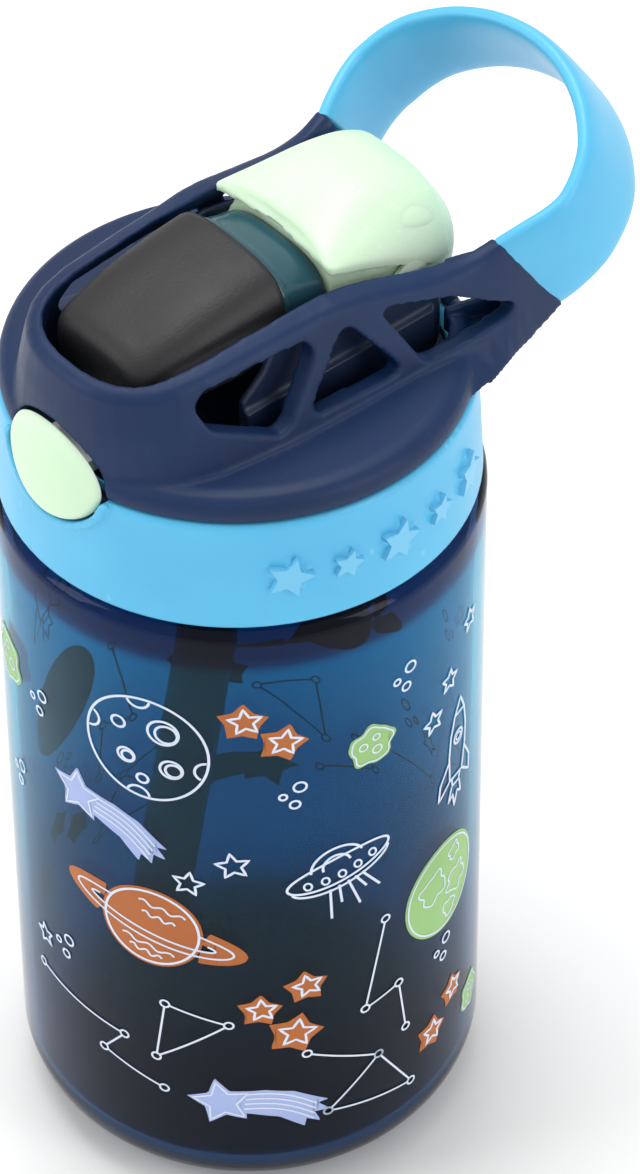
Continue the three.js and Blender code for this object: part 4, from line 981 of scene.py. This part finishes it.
def blob(radius, bumps, depth, phase=0.0, count=60):
    """A lumpy round outline."""
    out = []
    for k in range(count):
        a = 2 * math.pi * k / count
        ripple = math.sin(bumps * a + phase) + 0.5 * math.sin((bumps + 3) * a + 2 * phase)
        r = radius * (1 + depth * ripple)
        out.append((r * math.cos(a), r * math.sin(a)))
    return out


def wave(length, height, waves, count=24):
    return [(length * (k / count - 0.5), height * math.sin(2 * math.pi * waves * k / count))
            for k in range(count + 1)]


def shifted(points, dx, dy, turn=0.0):
    c, s = math.cos(math.radians(turn)), math.sin(math.radians(turn))
    return [(dx + c * x - s * y, dy + s * x + c * y) for x, y in points]


def pens(inks, place, turn=0.0, scale=1.0):
    """Two ways to draw at one place: white lines and filled shapes."""

    def line(points, width=LINE_WIDTH, closed=False):
        inks["white"].line(placed(points, place, turn, scale), width, closed)

    def fill(ink, points):
        inks[ink].fill(placed(points, place, turn, scale))

    return line, fill


def draw_moon(inks, place, scale):
    line, _ = pens(inks, place, 0, scale)
    line(ring(10.6, 1.05, count=64))
    for x, y, r in ((-4.6, 4.4, 1.2), (3.2, 4.6, 2.6), (-3.4, -2.6, 1.5), (4.4, -3.4, 1.9),
                    (-0.6, -6.9, 1.0)):
        line(shifted(ring(r), x, y))
        if r > 1.3:
            line(shifted(ring(r * 0.72), x + r * 0.2, y - r * 0.1))
    for angle in (95, 165, 262, 345):
        x, y = 10.6 * math.cos(math.radians(angle)), 11.1 * math.sin(math.radians(angle))
        line(shifted(ring(2.0, 1.0, 105, 255), x, y, angle))


def draw_star(inks, place, radius, turn=0.0, fill=None):
    if fill:
        back = shifted(star_points(radius * 1.5, 0.64), -0.35, -0.25)
        inks[fill].fill(placed(back, place, turn - 8))
    inks["white"].line(placed(star_points(radius), place, turn), closed=True)


def draw_comet(inks, place, turn, scale=1.0):
    line, fill = pens(inks, place, turn, scale)
    star_line, star_fill = pens(inks, place, turn + 20, scale)
    star_fill("lavender", star_points(5.4, 0.52))
    tail = [(2.0, 2.4), (6.0, 3.3), (10.5, 3.0), (16.2, 0.4), (14.6, -0.1), (16.8, -1.8), (14.4, -2.0),
            (15.6, -4.2), (13.0, -3.2), (13.2, -5.0), (9.0, -2.6), (5.0, -2.2), (2.0, -2.2)]
    fill("lavender", [(x, y + 0.4) for x, y in tail])
    star_line(star_points(4.5, 0.48), THIN_LINE, True)
    for offset in (2.0, 0.9, -0.2, -1.3):
        shares = [k / 12 for k in range(13)]
        line([(3.4 + 11.0 * t, 0.5 + offset + 0.9 * math.sin(math.pi * t) - 2.2 * t ** 2) for t in shares],
             THIN_LINE)


def draw_planet(inks, place, turn, scale=1.0):
    line, fill = pens(inks, place, turn, scale)
    fill("orange", ring(7.6, 1.0, count=60)[:-1])
    line(ring(7.0, 1.0, count=60))
    for y, length in ((4.4, 7.0), (2.4, 5.0), (-3.8, 8.0), (-5.2, 5.0)):
        line(shifted(wave(length, 0.35, 2.5), 0.6, y), FINE_LINE)
    line(ring(12.2, 0.2, 124, 416, 60), FINE_LINE)
    line(ring(9.6, 0.12, 150, 390, 40), FINE_LINE)
    for side in (1, -1):
        reach = [(side * x, y) for x, y in ring(14.2, 0.27, -56, 56, 24)]
        back = [(side * x, y) for x, y in ring(9.4, 0.11, 38, -38, 24)]
        fill("orange", reach + back)


def draw_saucer(inks, place, turn, scale=1.0):
    line, _ = pens(inks, place, turn, scale)
    line(ring(8.8, 0.30, count=60))
    line(shifted(ring(8.4, 0.34, 185, 355, 40), 0, -0.9))
    line(shifted(ring(4.4, 0.85, 8, 172, 30), 0, 1.2))
    line(shifted(ring(2.3, 1.0, 0, 180, 20), -0.2, 1.1))
    for x in (-5.6, -2.8, 0, 2.8, 5.6):
        line(shifted(ring(0.6, 1.3), x, -1.2 + 0.02 * x * x), FINE_LINE)
    for x, low in ((-4.4, -9.6), (-1.9, -7.2), (0.6, -9.6), (2.6, -6.8), (4.6, -8.4)):
        line([(x * 0.62, -3.3), (x, low)])


def draw_rocket(inks, place, turn, scale=1.0):
    line, _ = pens(inks, place, turn, scale)
    hull = [(0, 11.0), (1.5, 8.0), (2.4, 4.0), (2.5, 0.0), (1.9, -5.0), (-1.9, -5.0), (-2.5, 0.0),
            (-2.4, 4.0), (-1.5, 8.0)]
    line(hull, closed=True)
    line([(-1.5, 8.0), (1.5, 8.0)])
    line(shifted(ring(1.3), 0, 3.0))
    line(shifted(ring(0.7), 0, 3.0), THIN_LINE)
    for side in (1, -1):
        line([(side * 2.3, -0.5), (side * 4.6, -4.2), (side * 4.8, -7.4), (side * 1.9, -5.0)])
    line([(-1.3, -5.0), (-1.0, -6.6), (1.0, -6.6), (1.3, -5.0)])
    line([(-1.2, -6.8), (-1.9, -9.6), (-0.7, -8.6), (0, -11.4), (0.7, -8.6), (1.9, -9.6), (1.2, -6.8)])


def draw_rock(inks, place, turn, scale=1.0):
    line, fill = pens(inks, place, turn, scale)
    fill("green", blob(4.0, 5, 0.09, 1.0))
    line(blob(3.5, 5, 0.08, 1.0), HAIR_LINE, True)
    for x, y, r in ((-1.5, 0.6, 0.7), (0.9, 1.4, 0.6), (0.6, -1.2, 0.8)):
        line(shifted(ring(r), x, y), HAIR_LINE)


def draw_green_planet(inks, place, turn, scale=1.0):
    line, fill = pens(inks, place, turn, scale)
    fill("green", ring(9.2, 1.06, count=60)[:-1])
    line(ring(8.6, 1.06, count=60), THIN_LINE)
    for x, y, size, bumps in ((-2.6, 2.0, 3.0, 4), (3.4, -1.6, 2.6, 5), (0.6, -6.0, 1.6, 3),
                              (3.6, 5.0, 1.5, 4)):
        line(shifted(blob(size, bumps, 0.16, x), x, y), THIN_LINE, True)


def draw_constellation(inks, stops, closed=False):
    """Small rings joined by straight lines; stops are places on the body."""
    white = inks["white"]
    flat = [(math.radians(angle) * BODY_RADIUS, z) for angle, z in stops]
    ring_radius = 0.75
    pairs = list(zip(flat, flat[1:] + flat[:1])) if closed else list(zip(flat, flat[1:]))
    for (u0, z0), (u1, z1) in pairs:
        length = math.hypot(u1 - u0, z1 - z0)
        du, dz = (u1 - u0) / length * ring_radius, (z1 - z0) / length * ring_radius
        white.line([(u0 + du, z0 + dz), (u1 - du, z1 - dz)], FINE_LINE)
    for angle, z in stops:
        white.line(placed(ring(ring_radius, count=16), (angle, z)), FINE_LINE)


def draw_sky(inks, turn_round, shift=0.0):
    """One half of the wrap; the other half is the same sky further round."""

    def at(angle, z):
        return (angle + turn_round, z + shift)

    draw_moon(inks, at(-62.6, 101), 0.93)
    draw_planet(inks, at(-63, 62), -16, 1.12)
    draw_green_planet(inks, at(15.6, 56.5), 8)
    draw_saucer(inks, at(-17, 74.6), 17)
    draw_rocket(inks, at(21, 83.5), -4)
    draw_comet(inks, at(-82, 85), -20)
    draw_comet(inks, at(-46.5, 24), -8, 1.05)
    draw_rock(inks, at(-8.5, 98.6), 10)
    draw_rock(inks, at(31.6, 22), 60, 0.9)
    draw_rock(inks, at(-111, 99), 40, 1.2)
    for angle, z, radius, turn in ((-39, 109.2, 2.7, 6), (-29.9, 104.4, 2.7, -10), (-36.4, 45.8, 2.5, 4),
                                   (-25.2, 50.2, 2.5, 12), (-28, 39.7, 3.2, -8), (20.8, 30.1, 2.3, 10),
                                   (11.7, 24.9, 2.5, -6)):
        draw_star(inks, at(angle, z), radius, turn, "orange")
    for angle, z, radius, turn in ((10.5, 95.2, 2.3, 8), (16.9, 100.8, 2.2, -8), (26.9, 108.2, 2.2, 5),
                                   (-53.2, 73.7, 2.6, -8), (-42.5, 78.4, 2.8, 10), (-98, 45, 2.2, 12)):
        draw_star(inks, at(angle, z), radius, turn)
    for angle, z in ((-26.6, 92.6), (2.4, 109), (-93.5, 98), (-106, 76), (-88, 47), (16.9, 42)):
        for dx, dy, r in ((0, 1.9, 1.0), (-2.6, 0.2, 0.6), (-0.8, -1.7, 0.8)):
            inks["white"].line(placed(shifted(ring(r, count=20), dx, dy), at(angle, z)), 0.36)
    draw_constellation(inks, [at(-60, 45.2), at(-44.4, 42.3), at(-62.7, 32.3)], closed=True)
    draw_constellation(inks, [at(-99.9, 37.5), at(-71.3, 34.7), at(-77.6, 29.3), at(-60.9, 25.2)])
    draw_constellation(inks, [at(-4.7, 59.2), at(-10.4, 40.7), at(-0.6, 42.7), at(1.7, 31.4)])
    draw_constellation(inks, [at(-25.6, 34.4), at(-6.6, 28.6), at(3.6, 17.5), at(-20.4, 19.6)])
    draw_constellation(inks, [at(-6.6, 28.6), at(-20.4, 19.6)])


def make_prints():
    inks = {name: Print("print_" + name, "ink_" + name, INK_BASE) for name in ("orange", "green", "lavender")}
    inks["white"] = Print("print_white", "ink_white", INK_BASE + INK_DEPTH + INK_GAP)
    for turn_round, shift in ((0, 0.0), (182, 1.5)):
        draw_sky(inks, turn_round, shift)
    for ink in inks.values():
        ink.finish()


# ---- Making everything --------------------------------------------------------------------------

make_camera()
make_floor()
make_lights()
make_body()
make_prints()
soft_copy("collar_ring", 0.3, 5, round_out=True)
soft_copy("lid_frame", 0.32, 14, round_out=True)
soft_copy("spout_cradle", 0.4, 3)
make_loop()
make_button()
make_mouthpiece()
make_tube()
make_barrel()
make_hood()
make_coils()
make_collar_stars()

for name, node in NODES.items():
    node.data.materials.clear()
    node.data.materials.append(MATERIALS[LOOK_OF[name]])
